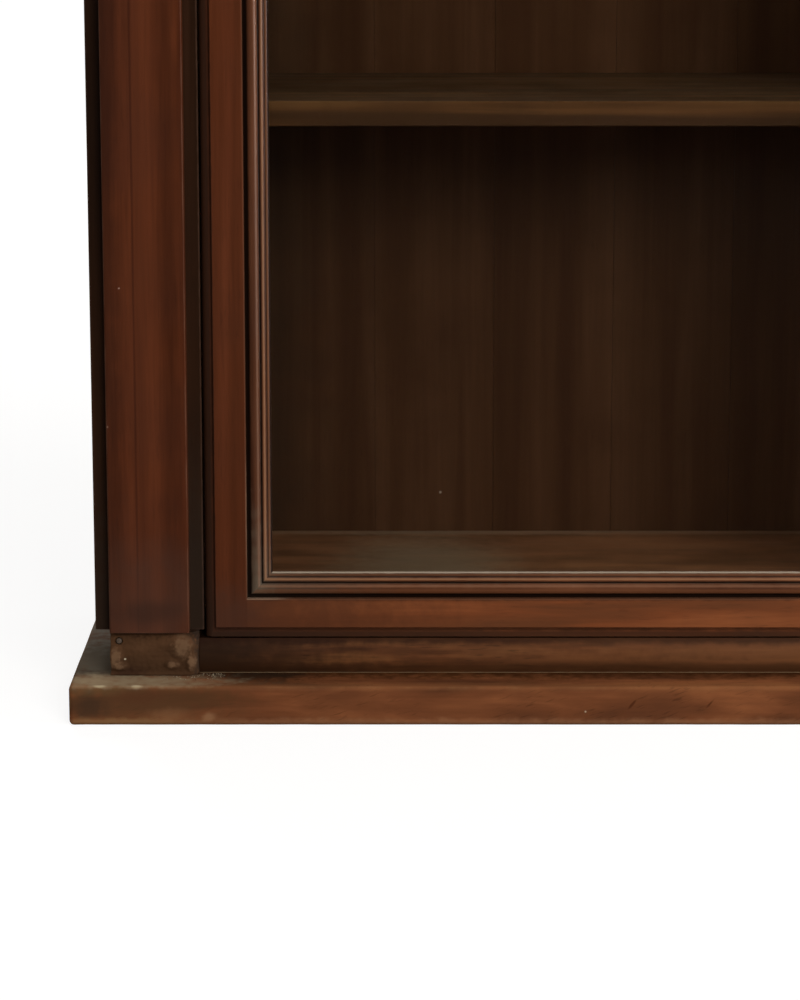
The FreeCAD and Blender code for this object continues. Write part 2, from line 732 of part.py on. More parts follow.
def make_door():
    """The left door, and the right one mirrored from it."""
    wide = d.stile_width
    thick = d.door_thick
    band = d.band_width
    sunk = d.band_set
    bend = d.band_round
    tall = d.door_height
    corner = (door_left, door_face, door_foot)
    plan = [(bend, sunk, bend, -1), (band, sunk), (band, 0), (wide, 0), (wide, thick), (0, thick),
            (0, sunk + bend)]
    hinge = stick("hinge_stile_blank", plan, tall, corner)
    ends = [rectangle(0, 0, wide + d.overrun, band), rectangle(0, tall - band, wide + d.overrun, tall)]
    trim(hinge, ends, sunk)
    lower_leaf = board("leaf_blank", (pivot_x - d.leaf_width / 2, pivot_y - d.leaf_width / 2, door_foot),
                       (d.leaf_length, d.leaf_width, d.leaf_thick))
    lower_bore = rod("leaf_bore", (pivot_x, pivot_y, door_foot - d.overrun), d.pin_radius + d.pin_play,
                     d.leaf_thick + 2 * d.overrun)
    leaf = cut("door_leaf_lower", lower_leaf, [lower_bore])
    leaves = [leaf, mirror("door_leaf_upper", leaf, V(0, 0, 1), (0, 0, door_middle))]
    stile_leaf = d.pivot_in - d.leaf_width / 2 + d.leaf_length - wide
    room = board("leaf_room", (pivot_x - d.leaf_width / 2, pivot_y - d.leaf_width / 2, door_foot - d.overrun),
                 (d.leaf_length, d.leaf_width, d.leaf_thick + d.overrun))
    hole = rod("pin_room", (pivot_x, pivot_y, door_foot), d.pin_radius + d.pin_hole_play,
               d.pin_rise + d.pin_hole_play)
    rooms = [room, hole]
    rooms += [mirror(f"{piece.Name}_upper", piece, V(0, 0, 1), (0, 0, door_middle)) for piece in rooms]
    both_doors("hinge_stile", cut("left_door_hinge_stile", hinge, rooms))

    middle_x = door_left + door_width / 2
    meeting = mirror("meeting_stile_blank", hinge, V(1, 0, 0), (middle_x, 0, 0))
    make_meeting_stiles(meeting)

    span = door_width - 2 * wide
    rail_wide = d.door_rail_width
    face = [(sunk, 0), (thick, 0), (thick, rail_wide), (0, rail_wide), (0, band), (sunk, band)]
    rail = stick("bottom_rail_blank", face, span, (door_left + wide, door_face, door_foot), ALONG_X)
    rail_rooms = [room] if stile_leaf.value > 0 else []
    bottom = cut("left_door_bottom_rail", rail, rail_rooms) if rail_rooms else rail
    both_doors("bottom_rail", bottom)
    both_doors("top_rail", mirror("left_door_top_rail", bottom, V(0, 0, 1), (0, 0, door_middle)))
    both_doors("pivot_leaves", group("left_door_pivot_leaves", leaves))
    make_glazing(middle_x, span, tall - 2 * rail_wide)


def both_doors(name, left):
    """Keep a piece of the left door and its twin on the right door."""
    keep("left_door_" + name, left)
    return keep("right_door_" + name, mirror("right_door_" + name, left))


def make_glazing(middle_x, sight_width, sight_height):
    """Mitred reeded mouldings in front of the pane and nailed beads behind it."""
    left = door_left + d.stile_width
    foot = door_foot + d.door_rail_width
    torus_end = d.quirk_width + d.torus_width
    torus_low = d.quirk_depth + d.torus_drop
    wide_from = torus_end + d.reed_gap
    wide_top = torus_low + d.reed_step
    wide_end = wide_from + d.wide_reed
    wide_low = wide_top + d.wide_reed_drop
    thin_from = wide_end + d.reed_gap
    thin_top = wide_low + d.reed_step
    thin_end = thin_from + d.thin_reed
    thin_low = thin_top + d.thin_reed_drop
    edge = thin_end + d.lip_width
    deep = d.moulding_depth
    profile = [(0, d.quirk_depth), (d.quirk_width, d.quirk_depth),
               (torus_end, torus_low, d.torus_width * TORUS_RADIUS_SHARE, -1),
               (wide_from, wide_top),
               (wide_end, wide_low, d.wide_reed * WIDE_REED_RADIUS_SHARE, -1),
               (thin_from, thin_top),
               (thin_end, thin_low, d.thin_reed * THIN_REED_RADIUS_SHARE, -1),
               (edge, thin_low), (edge, deep), (0, deep)]
    upright = stick("moulding_left", profile, sight_height, (left, door_face, foot))
    mitre(upright, edge, sight_height)
    level = stick("moulding_bottom", profile, sight_width, (left + sight_width, door_face, foot), ALONG_MINUS_X)
    mitre(level, edge, sight_width)
    sides = [upright, mirror("moulding_right", upright, V(1, 0, 0), (middle_x, 0, 0)),
             level, mirror("moulding_top", level, V(0, 0, 1), (0, 0, door_middle))]
    both_doors("glazing_moulding", group("left_door_glazing_moulding", sides))

    inset = d.glass_edge_play
    glass_face = door_face + deep + d.glass_play
    both_doors("glass", board("left_door_glass", (left + inset, glass_face, foot + inset),
                              (sight_width - 2 * inset, d.glass_thick, sight_height - 2 * inset)))

    bead_from = deep + d.glass_thick + 2 * d.glass_play
    bead = d.bead_width
    bend = d.bead_round
    far = d.door_thick
    profile = [(0, bead_from), (bead, bead_from), (bead, far - bend), (bead - bend, far, bend, -1), (0, far)]
    upright = stick("bead_left", profile, sight_height, (left, door_face, foot))
    mitre(upright, bead, sight_height)
    level = stick("bead_bottom", profile, sight_width, (left + sight_width, door_face, foot), ALONG_MINUS_X)
    mitre(level, bead, sight_width)
    sides = [upright, mirror("bead_right", upright, V(1, 0, 0), (middle_x, 0, 0)),
             level, mirror("bead_top", level, V(0, 0, 1), (0, 0, door_middle))]
    both_doors("glass_beads", group("left_door_glass_beads", sides))


def make_meeting_stiles(blank):
    """Left: bored for two flush bolts. Right: a keyhole, with the lock behind it."""
    knob_up = d.bolt_length * KNOB_PLACE_SHARE
    slot_half = d.bolt_knob_radius + d.bolt_slot_play
    bore = rod("bolt_bore", (bolt_x, bolt_y, door_foot - d.overrun), d.bolt_radius + d.bolt_play,
               d.bolt_length + d.bolt_shy + d.bolt_play + d.overrun)
    slot_low = door_foot + d.bolt_shy + knob_up - d.bolt_throw - slot_half
    slot = board("bolt_slot", (bolt_x - slot_half, bolt_y, slot_low),
                 (slot_half * 2, door_back - bolt_y + d.overrun, d.bolt_throw + slot_half * 2))
    rooms = [bore, slot]
    rooms += [mirror(f"{piece.Name}_upper", piece, V(0, 0, 1), (0, 0, door_middle)) for piece in rooms]
    keep("left_door_meeting_stile", cut("left_door_meeting_stile", blank, rooms))
    foot = door_foot + d.bolt_shy
    shaft = rod("bolt_shaft", (bolt_x, bolt_y, foot), d.bolt_radius, d.bolt_length)
    knob = rod("bolt_knob", (bolt_x, bolt_y, foot + knob_up), d.bolt_knob_radius,
               door_back - bolt_y + d.bolt_knob_reach, ROUND_Y)
    bolt = fused("flush_bolt_lower", [shaft, knob])
    keep("flush_bolt_lower", bolt)
    keep("flush_bolt_upper", mirror("flush_bolt_upper", bolt, V(0, 0, 1), (0, 0, door_middle)))
    make_lock(mirror("right_meeting_blank", blank))


def make_lock(blank):
    """A rim lock behind the right door's meeting stile, its bolt, its key and a keyhole plate."""
    stile_left = -door_right
    lock_left = stile_left + d.lock_edge
    lock_z = door_foot + d.lock_height
    key_x = stile_left + d.stile_width / 2
    key_z = lock_z - d.key_drop
    lock_foot = lock_z - d.lock_tall / 2
    wall = d.lock_wall
    hole = d.key_radius + d.key_hole_play
    slot_half = d.key_slot_width / 2
    slot_drop = d.key_bit_length + d.key_hole_play

    def keyhole(label, start, run):
        """A round hole with a slot below it, as the key's bit needs."""
        ring = rod(label + "_round", (key_x, start, key_z), hole, run, ROUND_Y)
        slot = board(label + "_slot", (key_x - slot_half, start, key_z - slot_drop),
                     (slot_half * 2, run, slot_drop))
        return [ring, slot]

    through = d.door_thick + 2 * d.overrun
    keep("right_door_meeting_stile",
         cut("right_door_meeting_stile", blank, keyhole("stile_keyhole", door_face - d.overrun, through)))

    case = board("lock_blank", (lock_left, door_back, lock_foot), (d.lock_width, d.lock_thick, d.lock_tall))
    hollow = board("lock_hollow", (lock_left + wall, door_back - d.overrun, lock_foot + wall),
                   (d.lock_width - 2 * wall, d.lock_thick - wall + d.overrun, d.lock_tall - 2 * wall))
    play = d.lock_bolt_play
    bolt_foot = lock_z + d.lock_bolt_rise - d.lock_bolt_tall / 2
    bolt_face = door_back + (d.lock_thick - wall) / 2 - d.lock_bolt_thick / 2
    mouth = board("lock_mouth", (lock_left - d.overrun, bolt_face - play, bolt_foot - play),
                  (wall + 2 * d.overrun, d.lock_bolt_thick + 2 * play, d.lock_bolt_tall + 2 * play))
    shell = cut("lock_shell", case, [hollow, mouth])
    pin_start = door_back + d.lock_thick - wall - d.key_bore_depth
    pin = rod("lock_drill_pin", (key_x, pin_start, key_z), d.key_bore_radius - d.key_play,
              d.key_bore_depth + wall / 2, ROUND_Y)
    keep("lock_case", fused("lock_case", [shell, pin]))

    bolt = board("lock_bolt", (lock_left + d.lock_bolt_shy, bolt_face, bolt_foot),
                 (d.lock_bolt_length, d.lock_bolt_thick, d.lock_bolt_tall))
    keep("lock_bolt", bolt)

    tip = door_back + d.lock_thick - wall - d.lock_bolt_shy
    shank_start = door_face - d.key_reach
    shank = rod("key_shank", (key_x, shank_start, key_z), d.key_radius, tip - shank_start, ROUND_Y)
    bit = board("key_bit", (key_x - d.key_bit_thick / 2, tip - d.key_bit_deep, key_z - d.key_bit_length),
                (d.key_bit_thick, d.key_bit_deep, d.key_bit_length))
    bow = doc.addObject("Part::Torus", "key_bow")
    bind(bow, "Radius1", d.key_bow_radius)
    bind(bow, "Radius2", d.key_bow_wire)
    place(bow, (key_x, shank_start - d.key_bow_radius, key_z), FreeCAD.Rotation(V(0, 1, 0), 90))
    collar_start = shank_start + d.key_reach * KEY_COLLAR_SHARE
    collar = rod("key_collar", (key_x, collar_start, key_z), d.key_collar_radius, d.key_collar_thick, ROUND_Y)
    bore = rod("key_bore", (key_x, tip - d.key_bore_depth - d.key_hole_play, key_z), d.key_bore_radius,
               d.key_bore_depth + d.key_hole_play + d.overrun, ROUND_Y)
    keep("key", cut("key", fused("key_solid", [shank, bit, bow, collar]), [bore]))

    rise = d.escutcheon_tall / 2
    reach = d.escutcheon_width / 2
    leaf_radius = (rise * rise + reach * reach) / (2 * reach)
    plate = stick("escutcheon_blank", [(-rise, 0, leaf_radius, -1), (rise, 0, leaf_radius, -1)],
                  d.escutcheon_thick, (key_x, door_face - d.escutcheon_thick, key_z), ALONG_Y)
    keep("escutcheon", cut("escutcheon", plate,
                           keyhole("plate_keyhole", door_face - 2 * d.overrun, 3 * d.overrun)))

    keep("strike_plate", board("strike_plate", (door_right - d.strike_width, door_back, bolt_foot
                                                + d.lock_bolt_tall / 2 - d.strike_tall / 2),
                               (d.strike_width, d.strike_thick, d.strike_tall)))


make_plinth()
make_neck()
make_posts()
make_sides()
make_floor_and_back()
make_top()
make_racks()
make_fixed_pivots()
make_door()
doc.recompute()

for thing in doc.Objects:
    if {"Invalid", "Error"} & set(thing.State):
        raise RuntimeError(f"{thing.Label} did not build: {thing.State}")
for label, thing in nodes.items():
    if thing.Shape.isNull() or not thing.Shape.isValid() or not thing.Shape.Solids:
        raise RuntimeError(f"{label} has no sound solid")

os.makedirs("parts", exist_ok=True)
for label, thing in nodes.items():
    thing.Shape.exportStep(f"parts/{label}.step")
print(len(nodes), "pieces,", sum(len(thing.Shape.Solids) for thing in nodes.values()), "solids")
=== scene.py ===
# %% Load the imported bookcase
import math
import random

import bmesh
import bpy
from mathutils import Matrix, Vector


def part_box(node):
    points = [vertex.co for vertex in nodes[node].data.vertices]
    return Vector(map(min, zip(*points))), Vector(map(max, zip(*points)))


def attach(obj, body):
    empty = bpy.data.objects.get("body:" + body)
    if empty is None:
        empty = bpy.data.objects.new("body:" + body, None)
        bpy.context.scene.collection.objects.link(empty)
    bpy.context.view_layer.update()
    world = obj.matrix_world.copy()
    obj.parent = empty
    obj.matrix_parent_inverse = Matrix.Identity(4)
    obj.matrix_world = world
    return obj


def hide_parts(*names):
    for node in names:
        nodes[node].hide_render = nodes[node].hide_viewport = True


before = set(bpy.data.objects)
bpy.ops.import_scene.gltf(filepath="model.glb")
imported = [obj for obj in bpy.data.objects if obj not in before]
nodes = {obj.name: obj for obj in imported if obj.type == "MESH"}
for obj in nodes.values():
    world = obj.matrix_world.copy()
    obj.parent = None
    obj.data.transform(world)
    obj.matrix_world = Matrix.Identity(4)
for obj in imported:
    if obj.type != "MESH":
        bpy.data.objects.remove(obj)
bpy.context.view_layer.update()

# %% [markdown]
# # An old bookcase with glazed doors
# The real thing is a dark red-brown case of French-polished mahogany on a projecting plinth.
# The CAD model gives every board its place. Blender adds what a joiner's drawing leaves out: grain,
# polish that has gone dull, worn arrises, dust, grime in the quirks and the rough blocks at the foot.
# Everything is in metres, with the front facing -Y, so a size in millimetres is multiplied once, by MM.

# %% Small tools used all through
MM = 0.001


def linear(code):
    """An sRGB hex colour as the linear values that a shader takes."""
    parts = [int(code[i:i + 2], 16) / 255 for i in (1, 3, 5)]
    return tuple(p / 12.92 if p <= 0.04045 else ((p + 0.055) / 1.055) ** 2.4 for p in parts) + (1.0,)


def add(tree, kind, inputs=None, out=0, **settings):
    """A shader node, giving one of its outputs; an input is a value, or an output to link."""
    made = tree.nodes.new("ShaderNode" + kind)
    for name, value in settings.items():
        setattr(made, name, value)
    for name, value in (inputs or {}).items():
        if isinstance(value, bpy.types.NodeSocket):
            tree.links.new(value, made.inputs[name])
        else:
            made.inputs[name].default_value = value
    return made.outputs[out]


def new_material(name):
    """An empty material of that name: itself, its tree and its one shader."""
    made = bpy.data.materials.new(name)
    made.use_nodes = True
    return made, made.node_tree, made.node_tree.nodes["Principled BSDF"]


print("white in linear values:", linear("#ffffff"))

# %% [markdown]
# ## Camera
# The photo looks straight at the front with a long lens, from knee height, tipped down a little, at the
# lower left corner. A long lens keeps upright edges nearly upright, which is why the plinth hardly tapers.

# %% Camera
CAMERA_SPOT = (-0.40464, -2.75655, 0.70862)
TIPPED_DOWN = 11.56
bpy.ops.object.select_all(action="DESELECT")
bpy.ops.object.camera_add(location=CAMERA_SPOT, rotation=(math.radians(90 - TIPPED_DOWN), 0, 0))
camera = bpy.context.object
camera.data.sensor_width = 36
camera.data.lens = 118.98
camera.data.clip_end = 200
bpy.context.scene.camera = camera
print("camera lens:", round(camera.data.lens, 2), "mm")

# %% [markdown]
# ## Floor and light
# A soft studio. A broad lamp in front gives the plain light, a tall window on the right draws the lines of
# light along the mouldings, and a weak lamp fills the left. A strip overhead lights the top edges, and a
# lamp behind lets the back be read too. The camera sees the floor as white paper with the case's shadow
# on it. What mirrors in the glass is the dim room in front of the case, so the floor is dark to
# mirrored rays.

# %% Which rays look straight at the studio
def straight_rays(tree, kinds):
    """Two masks: rays of these kinds that nothing matt has scattered, and rays that were mirrored."""
    path = add(tree, "LightPath").node.outputs
    looking = path[kinds[0]]
    for kind in kinds[1:]:
        looking = add(tree, "Math", {0: looking, 1: path[kind]}, operation="MAXIMUM")
    first = add(tree, "Math", {0: path["Diffuse Depth"], 1: 0.5}, operation="LESS_THAN")
    straight = add(tree, "Math", {0: looking, 1: first}, operation="MULTIPLY")
    mirrored = add(tree, "Math", {0: path["Glossy Depth"], 1: 0.5}, operation="GREATER_THAN")
    return straight, mirrored


# %% Floor
bpy.ops.mesh.primitive_plane_add(size=120, location=(0, 0, 0))
floor = bpy.context.object
floor.name = "studio_floor"
# Sprayed paper has no shine at all, so that it only shows light and shadow
paper, tree, shader = new_material("matt white paper, sprayed")
shader.inputs["Base Color"].default_value = linear("#8f8d8a")
shader.inputs["Roughness"].default_value = 0.9
shader.inputs["Specular IOR Level"].default_value = 0.1
straight, mirrored = straight_rays(tree, ("Is Camera Ray", "Is Transmission Ray"))
place = add(tree, "TexCoord", out="Object")
far = add(tree, "VectorMath", {0: place}, "Value", operation="LENGTH")
# Behind the lamps little light falls on the paper, so it glows more there and stays as white
level = add(tree, "MapRange", {"Value": far, "From Min": 3.0, "From Max": 4.4, "To Min": 0.8,
                               "To Max": 0.94})
glow = add(tree, "Emission", {"Color": linear("#ffffff"), "Strength": level})
seen = add(tree, "AddShader", {0: shader.outputs[0], 1: glow})
dim = add(tree, "BsdfDiffuse", {"Color": linear("#1c1b1a")})
direct = add(tree, "MixShader", {0: straight, 1: shader.outputs[0], 2: seen})
both = add(tree, "MixShader", {0: mirrored, 1: direct, 2: dim})
tree.links.new(both, tree.nodes["Material Output"].inputs["Surface"])
floor.data.materials.append(paper)
print("floor:", paper.name)

# %% World
ROOM_LIGHT = 0.26
world = bpy.data.worlds.new("soft white studio")
bpy.context.scene.world = world
world.use_nodes = True
tree = world.node_tree
straight, mirrored = straight_rays(tree, ("Is Camera Ray", "Is Transmission Ray", "Is Glossy Ray"))
way = add(tree, "SeparateXYZ", {0: add(tree, "TexCoord", out="Generated")}, "Y")
behind = add(tree, "MapRange", {"Value": way, "From Min": 0.0, "From Max": 0.5, "To Min": 0.01,
                                "To Max": 1.0})
shown = add(tree, "Mix", {0: mirrored, 2: 1.0, 3: behind})
strength = add(tree, "Mix", {0: straight, 2: ROOM_LIGHT, 3: shown})
sky = tree.nodes["Background"]
sky.inputs["Color"].default_value = linear("#ffffff")
tree.links.new(strength, sky.inputs["Strength"])
bpy.context.scene.view_settings.view_transform = "Standard"
print("world:", world.name)

# %% Lamps
# For each its place, what it points at, its size, its watts, and whether it shows in mirrors
LAMPS = {
    "front lamp": ((0.9, -4.2, 1.9), (-0.4, -0.1, 0.4), (1.8, 1.4), 110, False),
    "right window": ((3.0, -1.3, 1.0), (-0.4, -0.1, 0.4), (0.8, 1.6), 90, True),
    "left fill": ((-3.4, -2.8, 1.9), (-0.2, 0.0, 0.8), (2.4, 2.0), 24, False),
    "overhead strip": ((0.0, -1.3, 3.9), (0.0, -0.1, 0.6), (2.6, 0.9), 22, True),
    "back lamp": ((-1.4, 4.2, 2.8), (0.0, 0.0, 1.0), (2.4, 1.8), 80, True),
}
for name, (spot, aim, size, watts, in_mirrors) in LAMPS.items():
    bpy.ops.object.light_add(type="AREA", location=spot)
    lamp = bpy.context.object
    lamp.name = name
    lamp.data.shape = "RECTANGLE"
    lamp.data.size, lamp.data.size_y = size
    lamp.data.energy = watts
    lamp.visible_glossy = in_mirrors
    lamp.rotation_euler = (Vector(aim) - Vector(spot)).to_track_quat("-Z", "Y").to_euler()
print("lamps:", len(LAMPS))

# %% [markdown]
# ## Wood
# One recipe serves all the wood: mahogany sawn along the grain, planed, stained and French polished.
# Broad figure comes from a noise drawn out along the board, fibres and pores from finer ones, and smoky
# blotches from an even one. Age lies over this in thin layers, each a mask and a tint, and some layers
# are painted shade and painted highlights. Painting them by hand would need a picture, so they are
# worked out from the place on the board: blots fade out from a spot, rubbed arrises lie where two faces
# are near, lines follow a door's outline, and dust lies on what faces up.

# %% Layers for blots
def blot_layers(tree, place, crumble, blots, rag):
    """A mask and a tint for each blot, which fades out from its spot with a ragged edge."""
    layers = []
    for spot, reach, tint, amount, *tilt in blots:
        away = add(tree, "VectorMath", {0: place, 1: spot}, operation="SUBTRACT")
        if tilt:
            away = add(tree, "VectorRotate", {"Vector": away, "Angle": tilt[0]},
                       rotation_type="Y_AXIS")
        share = add(tree, "VectorMath", {0: away, 1: reach}, operation="DIVIDE")
        far = add(tree, "VectorMath", {0: share}, "Value", operation="LENGTH")
        ragged = add(tree, "Math", {0: crumble, 1: rag, 2: far}, operation="MULTIPLY_ADD")
        mask = add(tree, "MapRange",
                   {"Value": ragged, "From Min": 0.5 * rag + 0.2, "From Max": 0.5 * rag + 1.0,
                    "To Min": amount, "To Max": 0.0}, interpolation_type="SMOOTHSTEP")
        layers.append((mask, tint))
    return layers


# %% Layer for rubbed arrises
def arris_layer(tree, place, crumble, box, tint, wear):
    """Near an arris two of the three distances to a board's faces are small, so the second one is."""
    low, high = box
    away = add(tree, "VectorMath", {0: place, 1: (low + high) / 2}, operation="SUBTRACT")
    off = add(tree, "VectorMath", {0: away}, operation="ABSOLUTE")
    left = add(tree, "VectorMath", {0: (high - low) / 2, 1: off}, operation="SUBTRACT")
    dx, dy, dz = add(tree, "SeparateXYZ", {0: left}).node.outputs
    nearer = add(tree, "Math", {0: dx, 1: dy}, operation="MINIMUM")
    further = add(tree, "Math", {0: dx, 1: dy}, operation="MAXIMUM")
    further = add(tree, "Math", {0: further, 1: dz}, operation="MINIMUM")
    second = add(tree, "Math", {0: nearer, 1: further}, operation="MAXIMUM")
    ragged = add(tree, "Math", {0: crumble, 1: 2.2 * wear, 2: second}, operation="MULTIPLY_ADD")
    mask = add(tree, "MapRange", {"Value": ragged, "From Min": wear, "From Max": 2.2 * wear,
                                  "To Min": 0.75, "To Max": 0.0})
    return mask, tint


# %% Layers for lines round a door
def line_layers(tree, place, crumble, low, high, lines):
    """A mask and a tint for each line, which runs round a door at a distance in from its outline."""
    across = add(tree, "SeparateXYZ", {0: place}).node.outputs
    inward = []
    for axis in (0, 2):
        middle, half = (low[axis] + high[axis]) / 2, (high[axis] - low[axis]) / 2
        away = add(tree, "Math", {0: across[axis], 1: middle}, operation="SUBTRACT")
        off = add(tree, "Math", {0: away}, operation="ABSOLUTE")
        inward.append(add(tree, "Math", {0: half, 1: off}, operation="SUBTRACT"))
    depth = add(tree, "Math", {0: inward[0], 1: inward[1]}, operation="MINIMUM")
    layers = []
    for at, width, tint, amount in lines:
        away = add(tree, "Math", {0: depth, 1: at}, operation="SUBTRACT")
        off = add(tree, "Math", {0: away}, operation="ABSOLUTE")
        wide = add(tree, "MapRange", {"Value": crumble, "From Min": 0.3, "From Max": 0.7,
                                      "To Min": 0.8 * width, "To Max": 1.15 * width})
        mask = add(tree, "MapRange", {"Value": off, "From Min": 0.35 * width, "From Max": wide,
                                      "To Min": amount, "To Max": 0.0},
                   interpolation_type="SMOOTHSTEP")
        layers.append((mask, tint))
    return layers


# %% Wood recipe
# Fibres and pores are a tenth of this wide in mahogany, and drawn coarser so that a pixel can show them
FIBRE, PORE, SMOKE = 2.2 * MM, 1.6 * MM, 75 * MM
FIBRE_DRAWN, PORE_DRAWN = 30, 9


def wood(name, tones, grain, gloss=0.4, figure=16 * MM, drawn=30, streak=0.05, pores=0.2, fleck_turn=0.0,
         shine=0.15, grit=9 * MM, box=None, arris="#7d5a40", wear=1.1 * MM, outline=None, dust=None, blots=(),
         rag=1.5, boards=None):
    """Polished wood: three tones, the grain's axis, and where it is worn, grimy, dusty, stained or painted
    with light.
    """
    made, tree, shader = new_material(name)
    place = add(tree, "TexCoord", out="Object")
    turned = add(tree, "Mapping", {"Vector": place, "Rotation": (0, fleck_turn, 0)})
    run, thread, short = (
        add(tree, "Mapping", {"Vector": source, "Scale": [1 / long if a == grain else 1 for a in "xyz"]})
        for source, long in ((place, drawn), (place, FIBRE_DRAWN), (turned, PORE_DRAWN)))
    broad = add(tree, "TexNoise", {"Vector": run, "Scale": 1 / figure, "Detail": 4.0,
                                   "Roughness": 0.5, "Distortion": 0.4}, "Fac")
    fibre, pore, smoke, crumble = (
        add(tree, "TexNoise", {"Vector": source, "Scale": 1 / size, "Detail": detail}, "Fac")
        for source, size, detail in ((thread, FIBRE, 2.0), (short, PORE, 1.0), (place, SMOKE, 3.0),
                                     (place, grit, 3.0)))

    colour = add(tree, "ValToRGB", {"Fac": broad}, "Color")
    stops = colour.node.color_ramp.elements
    stops[0].position, stops[0].color = 0.33, linear(tones[0])
    stops[1].position, stops[1].color = 0.68, linear(tones[2])
    stops.new(0.5).color = linear(tones[1])
    shade = add(tree, "MapRange", {"Value": fibre, "From Min": 0.3, "From Max": 0.7,
                                   "To Min": 1 - streak, "To Max": 1 + streak})
    colour = add(tree, "VectorMath", {0: colour, "Scale": shade}, operation="SCALE")
    if boards:
        # Each of a row of boards is a little lighter or darker than the next
        start, pitch = boards
        across = add(tree, "SeparateXYZ", {0: place}, "X")
        count = add(tree, "Math", {0: across, 1: start}, operation="SUBTRACT")
        count = add(tree, "Math", {0: count, 1: pitch}, operation="DIVIDE")
        count = add(tree, "Math", {0: count}, operation="FLOOR")
        own = add(tree, "TexWhiteNoise", {"W": count}, "Value", noise_dimensions="1D")
        own = add(tree, "MapRange", {"Value": own, "To Min": 0.95, "To Max": 1.05})
        colour = add(tree, "VectorMath", {0: colour, "Scale": own}, operation="SCALE")

    here = add(tree, "MapRange", {"Value": smoke, "From Min": 0.4, "From Max": 0.6, "To Max": pores})
    flecks = add(tree, "MapRange", {"Value": pore, "From Min": 0.6, "From Max": 0.7, "To Max": here})
    murk = add(tree, "MapRange", {"Value": smoke, "From Min": 0.48, "From Max": 0.72, "To Max": 0.5})
    rough = add(tree, "MapRange", {"Value": smoke, "From Min": 0.3, "From Max": 0.7,
                                   "To Min": gloss - 0.07, "To Max": gloss + 0.12})
    layers = [(flecks, "#1c0f09"), (murk, tones[0])]
    layers += blot_layers(tree, place, crumble, blots, rag)
    if box:
        layers.append(arris_layer(tree, place, crumble, box, arris, wear))
    if outline:
        layers += line_layers(tree, place, crumble, *outline)
    if dust:
        tint, amount = dust
        up = add(tree, "SeparateXYZ", {0: add(tree, "NewGeometry", out="Normal")}, "Z")
        lies = add(tree, "MapRange", {"Value": up, "From Min": 0.35, "From Max": 0.95, "To Max": amount})
        thick = add(tree, "MapRange", {"Value": crumble, "From Min": 0.3, "From Max": 0.62})
        mask = add(tree, "Math", {0: lies, 1: thick}, operation="MULTIPLY")
        layers.append((mask, tint))
        rough = add(tree, "Math", {0: mask, 1: 0.4, 2: rough}, operation="MULTIPLY_ADD")
    for mask, tint in layers:
        colour = add(tree, "Mix", {0: mask, 6: colour, 7: linear(tint)}, 2, data_type="RGBA")

    height = add(tree, "Math", {0: flecks, 1: -1.0, 2: fibre}, operation="MULTIPLY_ADD")
    bump = add(tree, "Bump", {"Height": height, "Strength": 0.25, "Distance": 0.3 * MM})
    shader.inputs["Specular IOR Level"].default_value = shine
    for socket, result in (("Base Color", colour), ("Roughness", rough), ("Normal", bump)):
        tree.links.new(result, shader.inputs[socket])
    return made


# %% [markdown]
# ## Dressing the CAD boards
# Each board keeps its CAD shape. A Weld joins its loose triangles, a flat Decimate makes whole faces of
# them, and a small Bevel eases the arrises as a plane and a rub of glass paper do. The marks of age, and
# the painted shade and highlights, are tables in millimetres, counted from a corner of the board, so that
# both sides of the case share them.

# %% Tones of the finishes
# French polish is thin shellac: deep red-brown tones and a soft shine, broken where it has worn
POLISH = ("#3c1b0d", "#4e2512", "#5e2f19")
STILE_POLISH = ("#43200f", "#4d2512", "#572b17")
RAIL_POLISH = ("#5c341d", "#6c3a1f", "#7b4526")
MOULDING_POLISH = ("#3d2012", "#4f2d1b", "#603924")
NECK_POLISH = ("#452816", "#54311b", "#613c21")
# Dark stain with no polish over it looks nearly black and dull
DARK_STAIN = ("#20120a", "#29170c", "#321d11")
# Where the plinth is scuffed, the polish is gone, so it is brown, dull and pale at the edges
PLINTH_POLISH = ("#52301e", "#673c24", "#7b4a2c")
# Oiled pine inside the case is a plain dull brown
INSIDE_STAIN = ("#3e2412", "#56331a", "#694426")
BACK_STAIN = ("#422617", "#4b2d1c", "#563624")
FLOOR_STAIN = ("#744a31", "#8b583b", "#9f6746")
# Sawn wood that was never polished is dull and dry
BARE_WOOD = ("#3c2819", "#49311f", "#583c28")
print("tones of polish:", POLISH)

# %% Lines on the doors
# Counted in from the door's outline, with a width, a tint and an amount. On the frame: painted shade with
# grime in the sunk band, a painted shadow at its step, and the rubbed arris of the flat. On the moulding:
# painted highlights on the flanks that face the glass, where the polish is rubbed too, and painted shade
# in the quirk, on the torus's flank towards the frame and between the reeds, with dirt packed in there
FRAME_SHADE_AND_WEAR_LINES = (
    (2.0 * MM, 8.0 * MM, "#241912", 0.75),
    (8.0 * MM, 1.4 * MM, "#190d07", 0.5),
    (33.6 * MM, 0.8 * MM, "#7d5a44", 0.2),
)
# Painted highlights on the flanks of torus and reeds that face the glass, over rubbed polish
HIGHLIGHT_AND_RUB_LINES = (
    (43.6 * MM, 1.2 * MM, "#82593f", 0.3),
    (48.8 * MM, 1.1 * MM, "#8f6546", 0.5),
    (52.0 * MM, 0.8 * MM, "#805a40", 0.3),
)
# Painted shade in the quirk, on the torus's flank towards the frame and between the reeds, with packed dirt
SHADE_AND_DIRT_LINES = (
    (35.8 * MM, 3.0 * MM, "#0d0603", 0.96),
    (46.2 * MM, 1.3 * MM, "#0c0603", 0.9),
    (50.7 * MM, 0.8 * MM, "#0e0704", 0.55),
)
